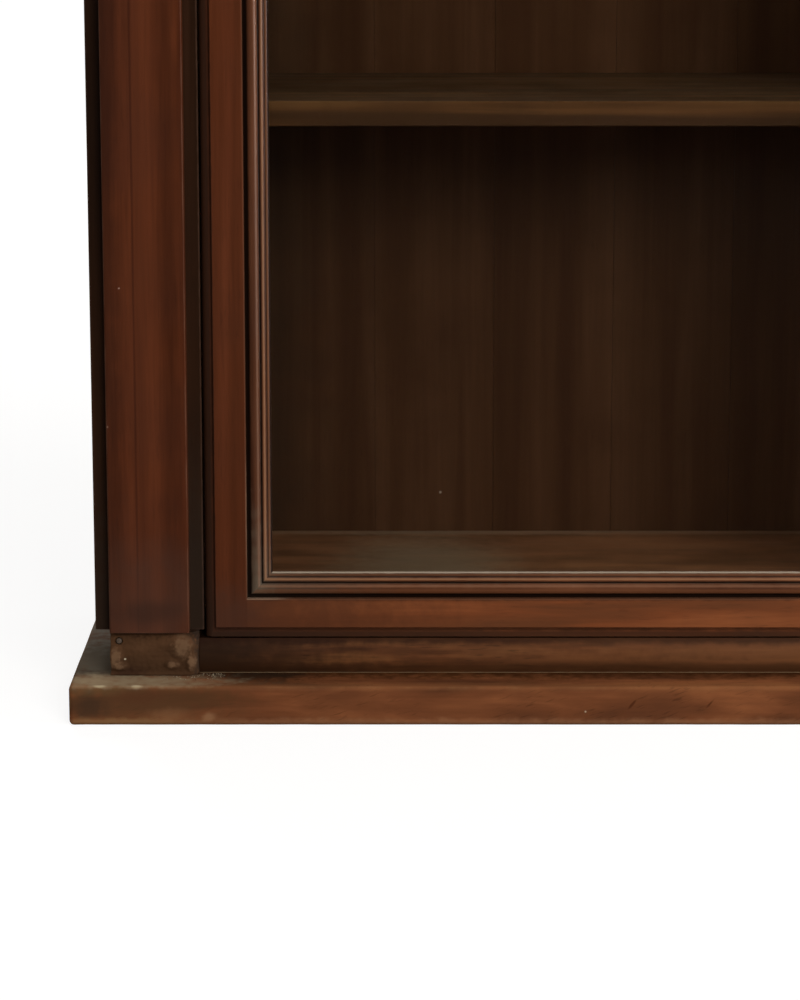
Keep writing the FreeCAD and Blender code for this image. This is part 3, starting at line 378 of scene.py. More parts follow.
# Where it lies level, the torus's half towards the frame has a warm painted highlight and the lip is pale
# with dust and a painted highlight; where it stands upright, the lip is darkened with painted shade
LIP_LIGHT_SHADE_AND_DUST = {"level": ((39.6 * MM, 2.4 * MM, "#6e4329", 0.35), (53.8 * MM, 0.8 * MM, "#988a78", 0.95)),
             "upright": ((54.0 * MM, 1.4 * MM, "#241812", 0.95),)}
STILE, RAIL = 34 * MM, 32 * MM
door_boxes = {}
line_boxes = {}
for side in ("left", "right"):
    hinged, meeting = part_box(side + "_door_hinge_stile"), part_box(side + "_door_meeting_stile")
    low, high = Vector(map(min, hinged[0], meeting[0])), Vector(map(max, hinged[1], meeting[1]))
    door_boxes[side] = (low, high)
    # The rails are a little narrower than the stiles, so the lines are counted from a taller outline
    spare = Vector((0, 0, STILE - RAIL))
    line_boxes[side] = (low - spare, high + spare)
print("left door:", [round(v, 4) for corner in door_boxes["left"] for v in corner])

# %% Tools for dressing
LENGTHWISE = {"shelf_battens": "y", "side_rails_left": "y", "side_rails_right": "y", "back_boards": "z",
              "shelf_racks": "z", "door_stops": "z", "left_door_glass_beads": "z",
              "right_door_glass_beads": "z"}
REMADE = ("plinth_front", "plinth_side_left", "plinth_side_right", "base_block_left", "base_block_right",
          "neck_front_rail", "back_boards", "left_door_glazing_moulding", "right_door_glazing_moulding")
METAL = ("fixed_pivots", "left_door_pivot_leaves", "right_door_pivot_leaves", "strike_plate", "escutcheon",
         "flush_bolt_upper", "flush_bolt_lower", "lock_case", "lock_bolt", "key")
wooden = sorted(name for name in nodes if name not in METAL + REMADE and not name.endswith("_glass"))
dressed = set()


def grain_of(name):
    """A board's grain runs along its longest side."""
    low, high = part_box(name)
    size = high - low
    return LENGTHWISE.get(name, "xyz"[max(range(3), key=lambda axis: size[axis])])


def outwards(name):
    """The way along X that leads away from the case's middle."""
    return -1 if "left" in name else 1


def marks(spot, way, table):
    """Blots from a table in millimetres: outwards, back and up from a spot, then how far each reaches."""
    return [((spot[0] + way * x * MM, spot[1] + y * MM, spot[2] + z * MM), Vector(reach) * MM, *look)
            for (x, y, z), reach, *look in table]


def dress(name, material):
    """Give a CAD node its finish."""
    for slot in nodes[name].material_slots:
        slot.material = material
    dressed.add(name)


def ease(name, width):
    """Take the sharpness off a CAD board's arrises."""
    piece = nodes[name]
    weld = piece.modifiers.new("joined triangles", "WELD")
    weld.merge_threshold = 0.02 * MM
    flat = piece.modifiers.new("whole faces", "DECIMATE")
    flat.decimate_type = "DISSOLVE"
    flat.angle_limit = math.radians(0.5)
    bevel = piece.modifiers.new("eased arris", "BEVEL")
    bevel.width = width
    bevel.segments = 2
    bevel.limit_method = "ANGLE"
    bevel.angle_limit = math.radians(40)


# %% Door frames
# Counted from the door's lower outer corner. Dirt has greyed that corner over the joint of stile and rail,
# and the arris towards the glass is dark along the rail and, beside the corner, rubbed pale with a painted
# highlight
CORNER_DIRT = ((-17.1, 0, 11.5), (45, 50, 45), "#43281c", 0.8)
RAIL_MARKS = (CORNER_DIRT, ((-292.1, 0, 32), (600, 20, 2.4), "#2a150b", 0.6),
              ((-42.1, 0, 32), (35, 20, 1.0), "#927862", 0.6))
# Counted from the rail's own lower outer corner: painted shade that darkens the rail towards the stile
RAIL_SHADE = (((-2.1, 0, 0), (250, 50, 300), "#4a2817", 0.8),)
STILE_MARKS = (CORNER_DIRT, ((-34, 0, 99.5), (1.0, 20, 68), "#927862", 0.3))
for name in wooden:
    if "_door_" not in name:
        continue
    side = name.split("_")[0]
    low, high = door_boxes[side]
    own_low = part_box(name)[0]
    hinge = low.x if side == "left" else high.x
    corner = (hinge, own_low.y, low.z)
    outline = (*line_boxes[side], FRAME_SHADE_AND_WEAR_LINES)
    if "rail" in name:
        look = wood("French-polished mahogany, " + name, RAIL_POLISH, grain_of(name), 0.38, drawn=14, rag=0.7,
                    outline=outline,
                    blots=marks((hinge, own_low.y, own_low.z), outwards(name), RAIL_SHADE)
                    + marks(corner, outwards(name), RAIL_MARKS))
    else:
        look = wood("French-polished mahogany, " + name, STILE_POLISH, grain_of(name), 0.38, rag=0.7,
                    figure=20 * MM, streak=0.08, outline=outline,
                    blots=marks(corner, outwards(name), STILE_MARKS))
    dress(name, look)
print("door frames:", len(dressed), "nodes")

# %% Posts
# Counted from the inner edge at the foot. The edge beside the door was never stained, and the foot is grey
POST_MARKS = (((0, 0, 831), (1.6, 30, 3000), "#4a3323", 0.5), ((0, 0, 0), (200, 200, 200), "#2a221b", 0.6))
for name in wooden:
    if name.startswith(("front_post", "rear_stile")):
        low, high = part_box(name)
        inner = (high.x if outwards(name) < 0 else low.x, low.y, low.z)
        dress(name, wood("dark-stained mahogany, " + name, DARK_STAIN, grain_of(name), 0.5, shine=0.08,
                         box=(low, high), arris="#49342a", rag=0.5,
                         blots=marks(inner, outwards(name), POST_MARKS)))
print("with the posts:", len(dressed), "nodes")

# %% Pilasters
# Counted from the middle of the foot: a rubbed middle, a dark band beside each edge, a dark streak, a foot
# that is grey with dirt, a smudge, and two specks of paint
PILASTER_MARKS = (((2, 0, 831), (24, 50, 3000), "#5e301b", 0.3),
                  ((31, 0, 831), (18, 50, 3000), "#2b140b", 0.6),
                  ((-19, 0, 831), (12, 50, 3000), "#301509", 0.5),
                  ((8.5, 0, 831), (1.4, 50, 3000), "#2a1008", 0.45),
                  ((0, 0, 0), (90, 50, 110), "#452e24", 0.55), ((4, 0, 17), (42, 20, 15), "#2f1f18", 0.5),
                  ((19.7, 0, 280.5), (1.1, 20, 1.1), "#a08070", 0.7),
                  ((30.8, 0, 169.3), (1.1, 20, 1.1), "#8a6a5a", 0.6))
for name in wooden:
    if name.startswith("pilaster"):
        low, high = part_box(name)
        foot = ((low.x + high.x) / 2, low.y, low.z)
        dress(name, wood("French-polished mahogany, " + name, POLISH, grain_of(name), 0.38, figure=26 * MM,
                         grit=28 * MM, streak=0.12, rag=0.8, box=(low, high), arris="#5e3f2f",
                         blots=marks(foot, outwards(name), PILASTER_MARKS)))
print("with the pilasters:", len(dressed), "nodes")

# %% Inside and the rest
# On the bottom board: dust with a painted sheen in the middle of the left half, dust along the back,
# and a bright patch to the right
BOTTOM_DUST_AND_SHEEN = (((-385, 30, 0), (110, 190, 50), "#a5886f", 0.7),
                ((-300, 176, 0), (400, 14, 50), "#a88c76", 0.5),
                ((-200, 130, 0), (220, 60, 50), "#a96d4c", 0.5))
for name in wooden:
    if name in dressed:
        continue
    low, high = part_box(name)
    grain = grain_of(name)
    if name == "bottom_board":
        look = wood("stained pine, oiled, bottom board", FLOOR_STAIN, grain, 0.5, figure=24 * MM, drawn=4,
                    rag=0.6, blots=marks((0, 0, high.z), 1, BOTTOM_DUST_AND_SHEEN))
    elif name.startswith(("ceiling", "shelf", "door_stops", "neck_back")):
        look = wood("stained pine, oiled, " + name, INSIDE_STAIN, grain, 0.55, dust=("#857a69", 0.12))
    elif name.startswith(("plinth", "top_board")):
        look = wood("scuffed mahogany, " + name, PLINTH_POLISH, grain, 0.5, box=(low, high), arris="#8a6748",
                    wear=1.6 * MM, dust=("#4b443a", 0.7))
    else:
        look = wood("French-polished mahogany, " + name, POLISH, grain, 0.4, box=(low, high), arris="#5f4030")
    dress(name, look)
EASED = ("pilaster", "front_post", "neck_side", "rear_stile", "shelf_1", "shelf_2", "shelf_3", "shelf_4",
         "bottom_board", "frieze", "top_board")
for name in wooden:
    if name.startswith(EASED):
        ease(name, 0.9 * MM)
print("wooden nodes dressed:", len(dressed))

# %% [markdown]
# ## Mouldings and rails with a run section
# A moulding is a section planed along a whole length. A cube gives the first long edge, and that edge is
# extruded from point to point round the section, as the cutter would trace it. The ends are cut off
# with bisect, at 45 degrees for a mitre, and filled. A curve with a bevel would also give the shape, but
# not the clean mitres.

# %% Tools for choosing and starting
def choose(piece, kind, test):
    """In edit mode, select the vertices, edges or faces that pass a test."""
    bpy.ops.mesh.select_mode(type=kind)
    bpy.ops.mesh.select_all(action="DESELECT")
    mesh = bmesh.from_edit_mesh(piece.data)
    for part in {"VERT": mesh.verts, "EDGE": mesh.edges, "FACE": mesh.faces}[kind]:
        if test(part):
            part.select_set(True)
    mesh.select_flush_mode()
    bmesh.update_edit_mesh(piece.data)


def take(piece):
    """Select one piece alone and make it the active one."""
    bpy.ops.object.select_all(action="DESELECT")
    piece.select_set(True)
    bpy.context.view_layer.objects.active = piece


def copy_of(piece):
    """A copy of a piece, with its own mesh."""
    take(piece)
    bpy.ops.object.duplicate()
    return bpy.context.object


def joined(name, pieces):
    """Several meshes made one piece."""
    take(pieces[0])
    for piece in pieces:
        piece.select_set(True)
    bpy.ops.object.join()
    bpy.context.object.name = name
    return bpy.context.object


def start_block(name, low, high):
    """A cube between two corners, in edit mode."""
    bpy.ops.object.select_all(action="DESELECT")
    bpy.ops.mesh.primitive_cube_add(size=1, location=(Vector(low) + Vector(high)) / 2)
    piece = bpy.context.object
    piece.name = name
    piece.scale = Vector(high) - Vector(low)
    bpy.ops.object.transform_apply(location=True, rotation=True, scale=True)
    bpy.ops.object.mode_set(mode="EDIT")
    return piece


# %% Section tools
SMOOTH = math.radians(32)
TOOL_SIZE = 10 * MM


def arc(start, stop, radius, side, steps):
    """Points of an arc after start, bulging to the right of its travel for side -1, left for side 1."""
    (x0, y0), (x1, y1) = start, stop
    chord = math.hypot(x1 - x0, y1 - y0)
    rise = math.sqrt(radius ** 2 - chord ** 2 / 4)
    nx, ny = -(y1 - y0) / chord, (x1 - x0) / chord
    cx, cy = (x0 + x1) / 2 - nx * rise * side, (y0 + y1) / 2 - ny * rise * side
    a0, a1 = math.atan2(y0 - cy, x0 - cx), math.atan2(y1 - cy, x1 - cx)
    turn = (a1 - a0 + math.pi) % (2 * math.pi) - math.pi
    return [(cx + radius * math.cos(a0 + turn * i / steps), cy + radius * math.sin(a0 + turn * i / steps))
            for i in range(1, steps + 1)]


def run_section(name, corner, u_way, v_way, along, length, section, cuts=()):
    """A stick with one section: the long edge at its last point is extruded round to where it began."""
    corner, u_way, v_way, along = (Vector(v) for v in (corner, u_way, v_way, along))
    spots = [corner + u_way * u + v_way * v for u, v in section]
    far = spots[-1] + along * length + (u_way + v_way) * TOOL_SIZE
    piece = start_block(name, [min(p) for p in zip(spots[-1], far)], [max(p) for p in zip(spots[-1], far)])
    ends = (spots[-1], spots[-1] + along * length)
    choose(piece, "VERT", lambda v: all((v.co - end).length > 0.001 * MM for end in ends))
    bpy.ops.mesh.delete(type="VERT")
    bpy.ops.mesh.select_mode(type="EDGE")
    bpy.ops.mesh.select_all(action="SELECT")
    before = spots[-1]
    for spot in spots:
        bpy.ops.mesh.extrude_edges_move(TRANSFORM_OT_translate={"value": spot - before})
        before = spot
    bpy.ops.mesh.select_all(action="SELECT")
    bpy.ops.mesh.remove_doubles(threshold=0.002 * MM)
    for spot, normal in cuts or ((corner, -along), (corner + along * length, along)):
        bpy.ops.mesh.select_all(action="SELECT")
        bpy.ops.mesh.bisect(plane_co=spot, plane_no=normal, use_fill=bool(cuts), clear_outer=True)
    bpy.ops.mesh.select_all(action="SELECT")
    if not cuts:
        bpy.ops.mesh.fill_holes(sides=0)
    bpy.ops.mesh.normals_make_consistent(inside=False)
    bpy.ops.object.mode_set(mode="OBJECT")
    bpy.ops.object.shade_smooth_by_angle(angle=SMOOTH)
    return piece


# %% Section of the glazing moulding
# Quirk, torus, wide reed, thin reed and lip, in from the door frame and back from the door's face
MOULDING = [(0, 5.0), (2.4, 5.0)] + arc((2.4, 5.0), (11.2, 6.2), 5.016, -1, 14) + [(12.0, 6.8)]
MOULDING += arc((12.0, 6.8), (16.0, 8.0), 2.48, -1, 9) + [(16.8, 8.6)]
MOULDING += arc((16.8, 8.6), (19.4, 9.6), 1.664, -1, 8) + [(20.2, 9.6), (20.2, 12.0), (0, 12.0)]
MOULDING = [(u * MM, v * MM) for u, v in MOULDING]
print("moulding section:", len(MOULDING), "points")

# %% Glazing mouldings of both doors
# Dust lies thickest in the lower corner beside the pilaster
MOULDING_MARKS = (((0, 0, 0), (130, 50, 35), "#40352a", 0.6), ((0, 0, 0), (30, 50, 110), "#5c5243", 0.45))
for side in ("left", "right"):
    low, high = door_boxes[side]
    low, high = low + Vector((STILE, 0, RAIL)), high - Vector((STILE, 0, RAIL))
    wide, tall = high.x - low.x, high.z - low.z
    dust_spot = (low.x if side == "left" else high.x, low.y, low.z)
    runs = {}
    for grain, corner, inward, along, length in (
            ("z", (low.x, low.y, low.z), (1, 0, 0), (0, 0, 1), tall),
            ("z", (high.x, low.y, low.z), (-1, 0, 0), (0, 0, 1), tall),
            ("x", (low.x, low.y, low.z), (0, 0, 1), (1, 0, 0), wide),
            ("x", (low.x, low.y, high.z), (0, 0, -1), (1, 0, 0), wide)):
        mitres = [(Vector(corner), Vector(inward) - Vector(along)),
                  (Vector(corner) + Vector(along) * length, Vector(inward) + Vector(along))]
        stick = run_section("moulding_stick", corner, inward, (0, 1, 0), along, length, MOULDING, mitres)
        runs.setdefault(grain, []).append(stick)
    for grain, sticks in runs.items():
        word = "upright" if grain == "z" else "level"
        piece = joined(f"{side}_door_moulding_{word}s", sticks)
        lines = HIGHLIGHT_AND_RUB_LINES + SHADE_AND_DIRT_LINES + LIP_LIGHT_SHADE_AND_DUST[word]
        piece.data.materials.append(wood(
            f"French-polished mahogany, {side} moulding, {word}", MOULDING_POLISH, grain, 0.36,
            figure=10 * MM, pores=0.0, shine=0.26 if word == "upright" else 0.12,
            outline=(*line_boxes[side], lines), dust=("#8a7661", 0.08), rag=1.0,
            blots=marks(dust_spot, 1, MOULDING_MARKS)))
        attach(piece, side + "_door")
        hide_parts(side + "_door_glazing_moulding")
        print(piece.name, len(piece.data.polygons), "faces")

# %% [markdown]
# ## Rail under the doors
# The set-back rail has a gently swelling face, with a painted highlight along its middle, a painted shadow
# of the doors along its top and painted shade along its foot. Dirt has gathered at its left end, beside the
# block, and a thin pale line runs along its foot. The left door's lower bolt drops into a square mortise
# in its top, which is cut with a Boolean, as a chisel would chop it.

# %% Neck rail
SWELL = 3.6 * MM
low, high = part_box("neck_front_rail")
tall, deep = high.z - low.z, high.y - low.y
radius = (tall ** 2 / 4 + SWELL ** 2) / (2 * SWELL)
NECK = [(SWELL, 0)] + arc((SWELL, 0), (SWELL, tall), radius, 1, 12) + [(deep, tall), (deep, 0)]
neck_rail = run_section("neck_rail", low, (0, 1, 0), (0, 0, 1), (1, 0, 0), high.x - low.x, NECK)
print("neck rail:", round(high.x - low.x, 4), "m long")


# %% Mortise for the bolt
def cut_out(piece, tool, name):
    """Take the shape of a tool out of a piece."""
    hole = piece.modifiers.new(name, "BOOLEAN")
    hole.operation = "DIFFERENCE"
    hole.object = tool
    take(piece)
    bpy.ops.object.modifier_apply(modifier=hole.name)
    bpy.data.objects.remove(tool)


# The shaft is 6 mm thick and its mortise 7 mm square and 15 mm deep
SHAFT, MORTISE, MORTISE_DEPTH, OVERRUN = 6 * MM, 7 * MM, 15 * MM, 5 * MM
bolt_low, bolt_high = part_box("flush_bolt_lower")
mouth = Vector(((bolt_low.x + bolt_high.x) / 2, bolt_low.y + SHAFT / 2, high.z))
chisel = start_block("chisel", mouth - Vector((MORTISE / 2, MORTISE / 2, MORTISE_DEPTH)),
                     mouth + Vector((MORTISE / 2, MORTISE / 2, OVERRUN)))
bpy.ops.object.mode_set(mode="OBJECT")
cut_out(neck_rail, chisel, "bolt mortise")
bpy.ops.object.shade_smooth_by_angle(angle=SMOOTH)
print("neck rail:", len(neck_rail.data.polygons), "faces")

# %% Finish of the neck rail
# Counted from the foot: a painted highlight on the middle; dirt at the left end; a painted shadow of the
# doors along the top and painted shade along the foot, and a thin pale line at the foot
NECK_PAINTED_HIGHLIGHT = (((0, 0, 15), (420, 100, 30), "#70472a", 0.5),)
NECK_END = (((0, 0, 12), (70, 100, 60), "#1d130c", 0.7), ((20, 0, 12), (160, 100, 90), "#21150d", 0.65))
NECK_SHADE_AND_PALE_LINES = (((0, 0, 29), (3000, 100, 8), "#26140b", 0.75), ((0, 0, 4), (3000, 100, 8), "#2e1a0d", 0.6),
              ((0, 0, 0.2), (3000, 100, 0.6), "#9a8263", 0.6))
middle = (0, low.y, low.z)
neck_rail.data.materials.append(wood(
    "French-polished mahogany, neck rail", NECK_POLISH, "x", 0.42, figure=7 * MM, drawn=9, streak=0.1,
    pores=0.5, rag=0.9,
    blots=marks(middle, 1, NECK_PAINTED_HIGHLIGHT) + marks(low, 1, NECK_END) + marks(middle, 1, NECK_SHADE_AND_PALE_LINES)))
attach(neck_rail, "case")
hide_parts("neck_front_rail")
print("neck rail marks:", len(NECK_PAINTED_HIGHLIGHT + NECK_END + NECK_SHADE_AND_PALE_LINES))

# %% [markdown]
# ## Plinth
# Thick boards that have been kicked and mopped for a century: their edges are rubbed round and no longer
# quite straight. A cube is cut up finely, its arrises are bevelled, and cloud-shaped wear is rubbed off it
# with Displace. The wear only takes away, so a board never grows. Sculpting would do too, but not from a
# script.

# %% Tools for worn boards
def gone(value, start, stop):
    """How far value has gone from start to stop, from 0 to 1."""
    return min(1.0, max(0.0, (value - start) / (stop - start)))


def wear_away(piece, name, size, depth, where):
    """Rub up to depth off a piece, in patches of a size, as strongly as where says for a place."""
    group = piece.vertex_groups.new(name=name)
    for vertex in piece.data.vertices:
        group.add([vertex.index], where(*vertex.co), "REPLACE")
    clouds = bpy.data.textures.new(name, "CLOUDS")
    clouds.noise_scale = size
    rub = piece.modifiers.new(name, "DISPLACE")
    rub.texture = clouds
    rub.vertex_group = name
    rub.mid_level = 1.0
    rub.strength = depth
    bpy.ops.object.modifier_apply(modifier=rub.name)


def worn_board(name, node, faces, cuts):
    """A board as big as its CAD node, cut up finely, with the arrises between some faces rubbed round."""
    low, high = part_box(node)
    piece = start_block(name, low, high)
    for axis, count in enumerate(cuts):
        choose(piece, "EDGE", lambda e: abs((e.verts[1].co - e.verts[0].co).normalized()[axis]) > 0.9)
        bpy.ops.mesh.subdivide(number_cuts=count)
    planes = [(axis, (low, high)[end][axis]) for axis, end in faces]
    choose(piece, "EDGE", lambda e: sum(all(abs(v.co[axis] - value) < 0.01 * MM for v in e.verts)
                                        for axis, value in planes) >= 2)
    bpy.ops.mesh.bevel(offset=3.8 * MM, segments=4, affect="EDGES")
    bpy.ops.object.mode_set(mode="OBJECT")
    return piece


# %% Plinth boards
# A board's rounded faces are an axis and an end of it, and its cuts are counted along each axis
low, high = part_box("plinth_front")
plinth = worn_board("plinth_front_board", "plinth_front", ((0, 0), (0, 1), (1, 0), (2, 0), (2, 1)),
                    (120, 9, 5))
wear_away(plinth, "long wear", 60 * MM, 1.2 * MM,
          lambda x, y, z: gone(y, low.y + 38 * MM, low.y + 28 * MM)
          * gone(abs(x), high.x, high.x - 20 * MM) * gone(z, 0, 6 * MM))
wear_away(plinth, "small nicks", 11 * MM, 0.35 * MM,
          lambda x, y, z: gone(y, low.y + 6 * MM, low.y + 2 * MM) * gone(abs(x), high.x, high.x - 10 * MM))
side_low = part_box("plinth_side_left")[0]
plinth_side = worn_board("plinth_side_left_board", "plinth_side_left", ((0, 0), (1, 1), (2, 0), (2, 1)),
                         (9, 34, 5))
wear_away(plinth_side, "long wear", 60 * MM, 1.0 * MM,
          lambda x, y, z: gone(x, side_low.x + 20 * MM, side_low.x + 10 * MM)
          * gone(y, side_low.y, side_low.y + 30 * MM) * 0.6)
print("plinth boards:", len(plinth.data.polygons), len(plinth_side.data.polygons), "faces")


# %% Copy for the other side
def other_side(piece, name):
    """A copy with its own mesh on the other side of the case's middle."""
    twin = copy_of(piece)
    twin.name = name
    twin.scale.x = -1
    bpy.ops.object.transform_apply(location=False, rotation=False, scale=True)
    bpy.ops.object.mode_set(mode="EDIT")
    bpy.ops.mesh.select_all(action="SELECT")
    bpy.ops.mesh.normals_make_consistent(inside=False)
    bpy.ops.object.mode_set(mode="OBJECT")
    return twin


plinth_right = other_side(plinth_side, "plinth_side_right_board")
print("copied:", plinth_right.name)

# %% Marks on the plinth
# All along, counted from the middle of the front's top edge: painted shade by the neck, rubbed polish with
# a painted highlight along the front edge, and a pale foot
ALONG_LIGHT_SHADE_AND_WEAR = (((0, 48, 1), (3000, 31, 10), "#2e190b", 0.9), ((0, 3.5, 0), (3000, 16, 6), "#86603a", 0.15),
         ((0, 0, -33), (3000, 30, 8), "#8f6546", 0.4))
# Counted from the left corner's foot, on the front: a broad smear, a dark one, the grimy top edge, two
# reddish ones, two rubbed spots and the pale foot; then two slanting scratches and a speck of paint
SMEARS = (((-50, 0, 18), (120, 30, 30), "#4f3823", 0.5), ((-17, 0, 15.6), (24, 30, 14), "#33271d", 0.6),
          ((-29, 0, 29.7), (50, 30, 7), "#4f4029", 0.5), ((-58, 0, 25.6), (30, 30, 10), "#4d2d1c", 0.5),
          ((-109, 0, 24), (50, 30, 10), "#4b311d", 0.5), ((-81, 0, 9), (20, 30, 8), "#8a6343", 0.25),
          ((-112, 0, 7.3), (8, 30, 6), "#a07a58", 0.3), ((-30, 0, 2), (90, 30, 6), "#86633f", 0.45))
SCRATCHES = (((-451.3, 0, 17.3), (7.5, 30, 1.4), "#3f1e10", 0.75, math.radians(51)),
             ((-513.7, 0, 18.0), (6.0, 30, 1.4), "#3f1e10", 0.75, math.radians(50)),
             ((-414, 0, 11.5), (1.4, 20, 1.4), "#c9b79a", 0.6))
# Counted from both corners' tops: khaki dust round the blocks, darker beside the block where the block's
# contact shadow is painted into it, and a dark patch by the neck. On the left two flakes are rubbed off the
# front edge
DUST_AND_SHADE = (((-15, 96, 1), (80, 120, 10), "#5a5246", 0.95), ((-10, 256, 1), (90, 170, 10), "#7d766b", 0.9),
        ((-150, 31, 0), (60, 30, 12), "#211811", 0.8), ((-45, 15, 1), (120, 33, 5), "#88745a", 0.95))
FLAKES = (((-24.7, 2.5, -0.5), (6, 3, 3), "#b5a583", 0.6), ((-54.3, 2.5, -0.5), (6, 3, 3), "#b5a583", 0.6))
left_top = (low.x, low.y, high.z)
right_top = (high.x, low.y, high.z)
plinth_marks = marks((0, low.y, high.z), 1, ALONG_LIGHT_SHADE_AND_WEAR) + marks(low, -1, SMEARS + SCRATCHES)
plinth_marks += marks(left_top, -1, DUST_AND_SHADE) + marks(right_top, 1, DUST_AND_SHADE) + marks(left_top, -1, FLAKES)
print("marks on the plinth:", len(plinth_marks))

# %% Finish of the plinth
for piece, node, grain in ((plinth, "plinth_front", "x"), (plinth_side, "plinth_side_left", "y"),
                           (plinth_right, "plinth_side_right", "y")):
    take(piece)
    bpy.ops.object.shade_smooth_by_angle(angle=SMOOTH)
    # The joint between front and side boards is no arris, so the box reaches past it
    worn_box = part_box(node)
    worn_box[1 if piece == plinth else 0].y += 1.0 if piece == plinth else -1.0
    piece.data.materials.append(wood(
        "scuffed mahogany, " + node, PLINTH_POLISH, grain, 0.5, figure=22 * MM, drawn=5, pores=0.4, shine=0.0,
        rag=0.9, fleck_turn=math.radians(18), box=worn_box, arris="#745034", wear=2.0 * MM,
        blots=plinth_marks))
    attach(piece, "case")
    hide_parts(node)
    print(piece.name, "finished")

# %% [markdown]
# ## Corner blocks
# Rough blocks carry the pilasters. Their show face was once covered, and is bare wood now, with old glue
# and one nail left in its hole. A voxel Remesh gives a fine skin, so that the saw and the chisel can leave
# their marks on it, and a Boolean drills the hole.

# %% Left block
low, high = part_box("base_block_left")
# Counted from the outer corner of the foot: patches of old glue
GLUE = [((x, 0, z), (wide, 30, tall), "#7d6047", 0.42) for x, z, wide, tall in (
    (-58.9, 24.5, 10, 13), (-66.4, 11.5, 5, 8), (-50.6, 9.2, 6, 4), (-4.2, 15.5, 6, 10), (-7.4, 7.5, 7, 4))]
glue_left = marks(low, -1, GLUE)
block = start_block("base_block_left_rough", low, high)
choose(block, "EDGE", lambda e: all(v.co.x > high.x - MM and v.co.y < low.y + MM for v in e.verts))
bpy.ops.mesh.bevel(offset=9 * MM, segments=6, affect="EDGES")
bpy.ops.object.mode_set(mode="OBJECT")
skin = block.modifiers.new("fine skin", "REMESH")
skin.mode = "VOXEL"
skin.voxel_size = 0.8 * MM
bpy.ops.object.modifier_apply(modifier=skin.name)
print("fine skin:", len(block.data.polygons), "faces")


# %% Chisel marks and nail hole
def laid_bare(x, y, z):
    """1 where the show face has lost wood, less under the glue, 0 on the joints and towards the rail."""
    under = min(math.hypot((x - spot[0]) / reach[0], (z - spot[2]) / reach[2])
                for spot, reach, *look in glue_left)
    shown = gone(y, low.y + 12 * MM, low.y + 6 * MM) * gone(x, high.x - 3 * MM, high.x - 10 * MM)
    shown *= gone(z, low.z, low.z + 3 * MM) * gone(z, high.z, high.z - 3 * MM)
    return shown * gone(under, 0.6, 1.2)


wear_away(block, "chisel marks", 20 * MM, 1.6 * MM, laid_bare)
wear_away(block, "torn fibres", 3 * MM, 0.7 * MM, laid_bare)
nail_spot = Vector((low.x + 7.7 * MM, low.y, low.z + 28.6 * MM))
bpy.ops.mesh.primitive_cylinder_add(vertices=20, radius=3.0 * MM, depth=9 * MM, location=nail_spot,
                                    rotation=(math.pi / 2, 0, 0))
cut_out(block, bpy.context.object, "nail hole")
bpy.ops.object.shade_smooth_by_angle(angle=math.radians(40))
print("nail hole at", [round(v, 4) for v in nail_spot])

# %% Finish of the blocks
# Counted as the glue is: painted shadow with dirt under the pilaster and the post, painted shade along the
# foot, the grimy end by the rail, and a pale speck
BLOCK_SHADE_AND_GRIME = (((-29.4, 0, 36), (50, 30, 7), "#2a1a10", 0.7),
               ((-70.4, 0, 36), (14, 30, 10), "#1b120c", 0.9),
               ((-14.4, 0, 3), (22, 30, 6), "#2b1a12", 0.6),
               ((-73.4, 10, 17), (10, 14, 50), "#2a2019", 0.9))
SPECK = (((-12.3, 0, 13.4), (1.3, 20, 1.1), "#d2c4a8", 0.6),)
twin = other_side(block, "base_block_right_rough")
for piece, node, way in ((block, "base_block_left", -1), (twin, "base_block_right", 1)):
    foot = (way * abs(low.x), low.y, low.z)
    piece.data.materials.clear()
    piece.data.materials.append(wood(
        "bare mahogany, sawn, " + node, BARE_WOOD, "x", 0.75, figure=26 * MM, drawn=3, streak=0.03,
        shine=0.05, pores=0.12, grit=3 * MM, blots=marks(foot, way, [*BLOCK_SHADE_AND_GRIME, *GLUE, *SPECK])))
    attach(piece, "case")
    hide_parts(node)
    print(piece.name, len(piece.data.polygons), "faces")

# %% [markdown]
# ## Metal
# The fittings are brass gone brown, the key is a dark forged one, and the nails have rusted. One recipe
# serves them all: a noise of a few millimetres says where hands have rubbed the metal bright.

# %% Metal recipe
def old_metal(name, bright, dark, gloss, patch=6 * MM, metallic=1.0):
    """Handled metal: bright where it's rubbed, dark and dull where it has tarnished."""
    made, tree, shader = new_material(name)
    place = add(tree, "TexCoord", out="Object")
    tarnish = add(tree, "TexNoise", {"Vector": place, "Scale": 1 / patch, "Detail": 4.0}, "Fac")
    tone = add(tree, "ValToRGB", {"Fac": tarnish}, "Color")
    stops = tone.node.color_ramp.elements
    stops[0].position, stops[0].color = 0.35, linear(dark)
    stops[1].position, stops[1].color = 0.62, linear(bright)
    rough = add(tree, "MapRange", {"Value": tarnish, "From Min": 0.3, "From Max": 0.7,
                                   "To Min": gloss + 0.2, "To Max": gloss - 0.08})
    pits = add(tree, "Bump", {"Height": tarnish, "Strength": 0.2, "Distance": 0.2 * MM})
    shader.inputs["Metallic"].default_value = metallic
    for socket, result in (("Base Color", tone), ("Roughness", rough), ("Normal", pits)):
        tree.links.new(result, shader.inputs[socket])
    return made


# Aged brass is brown, with dull gold where it is rubbed
BRASS = old_metal("cast brass, aged", "#8d6f3c", "#4a3518", 0.38)
# Oil has turned the pivots nearly as dark as the wood
OILED_BRASS = old_metal("cast brass, browned with oil", "#4d3a20", "#22170b", 0.5)
# Browned steel is dark grey with a faint sheen
STEEL = old_metal("forged steel, browned", "#565250", "#2c2523", 0.42)
# Rust is an earth, not a metal, so it is matt and brown
RUSTY_IRON = old_metal("wrought iron, rusted", "#584a3e", "#33261e", 0.7, patch=2 * MM, metallic=0.0)
for name in METAL:
    dress(name, STEEL if name == "key" else OILED_BRASS if "pivot" in name else BRASS)
print("metal nodes:", len(METAL))

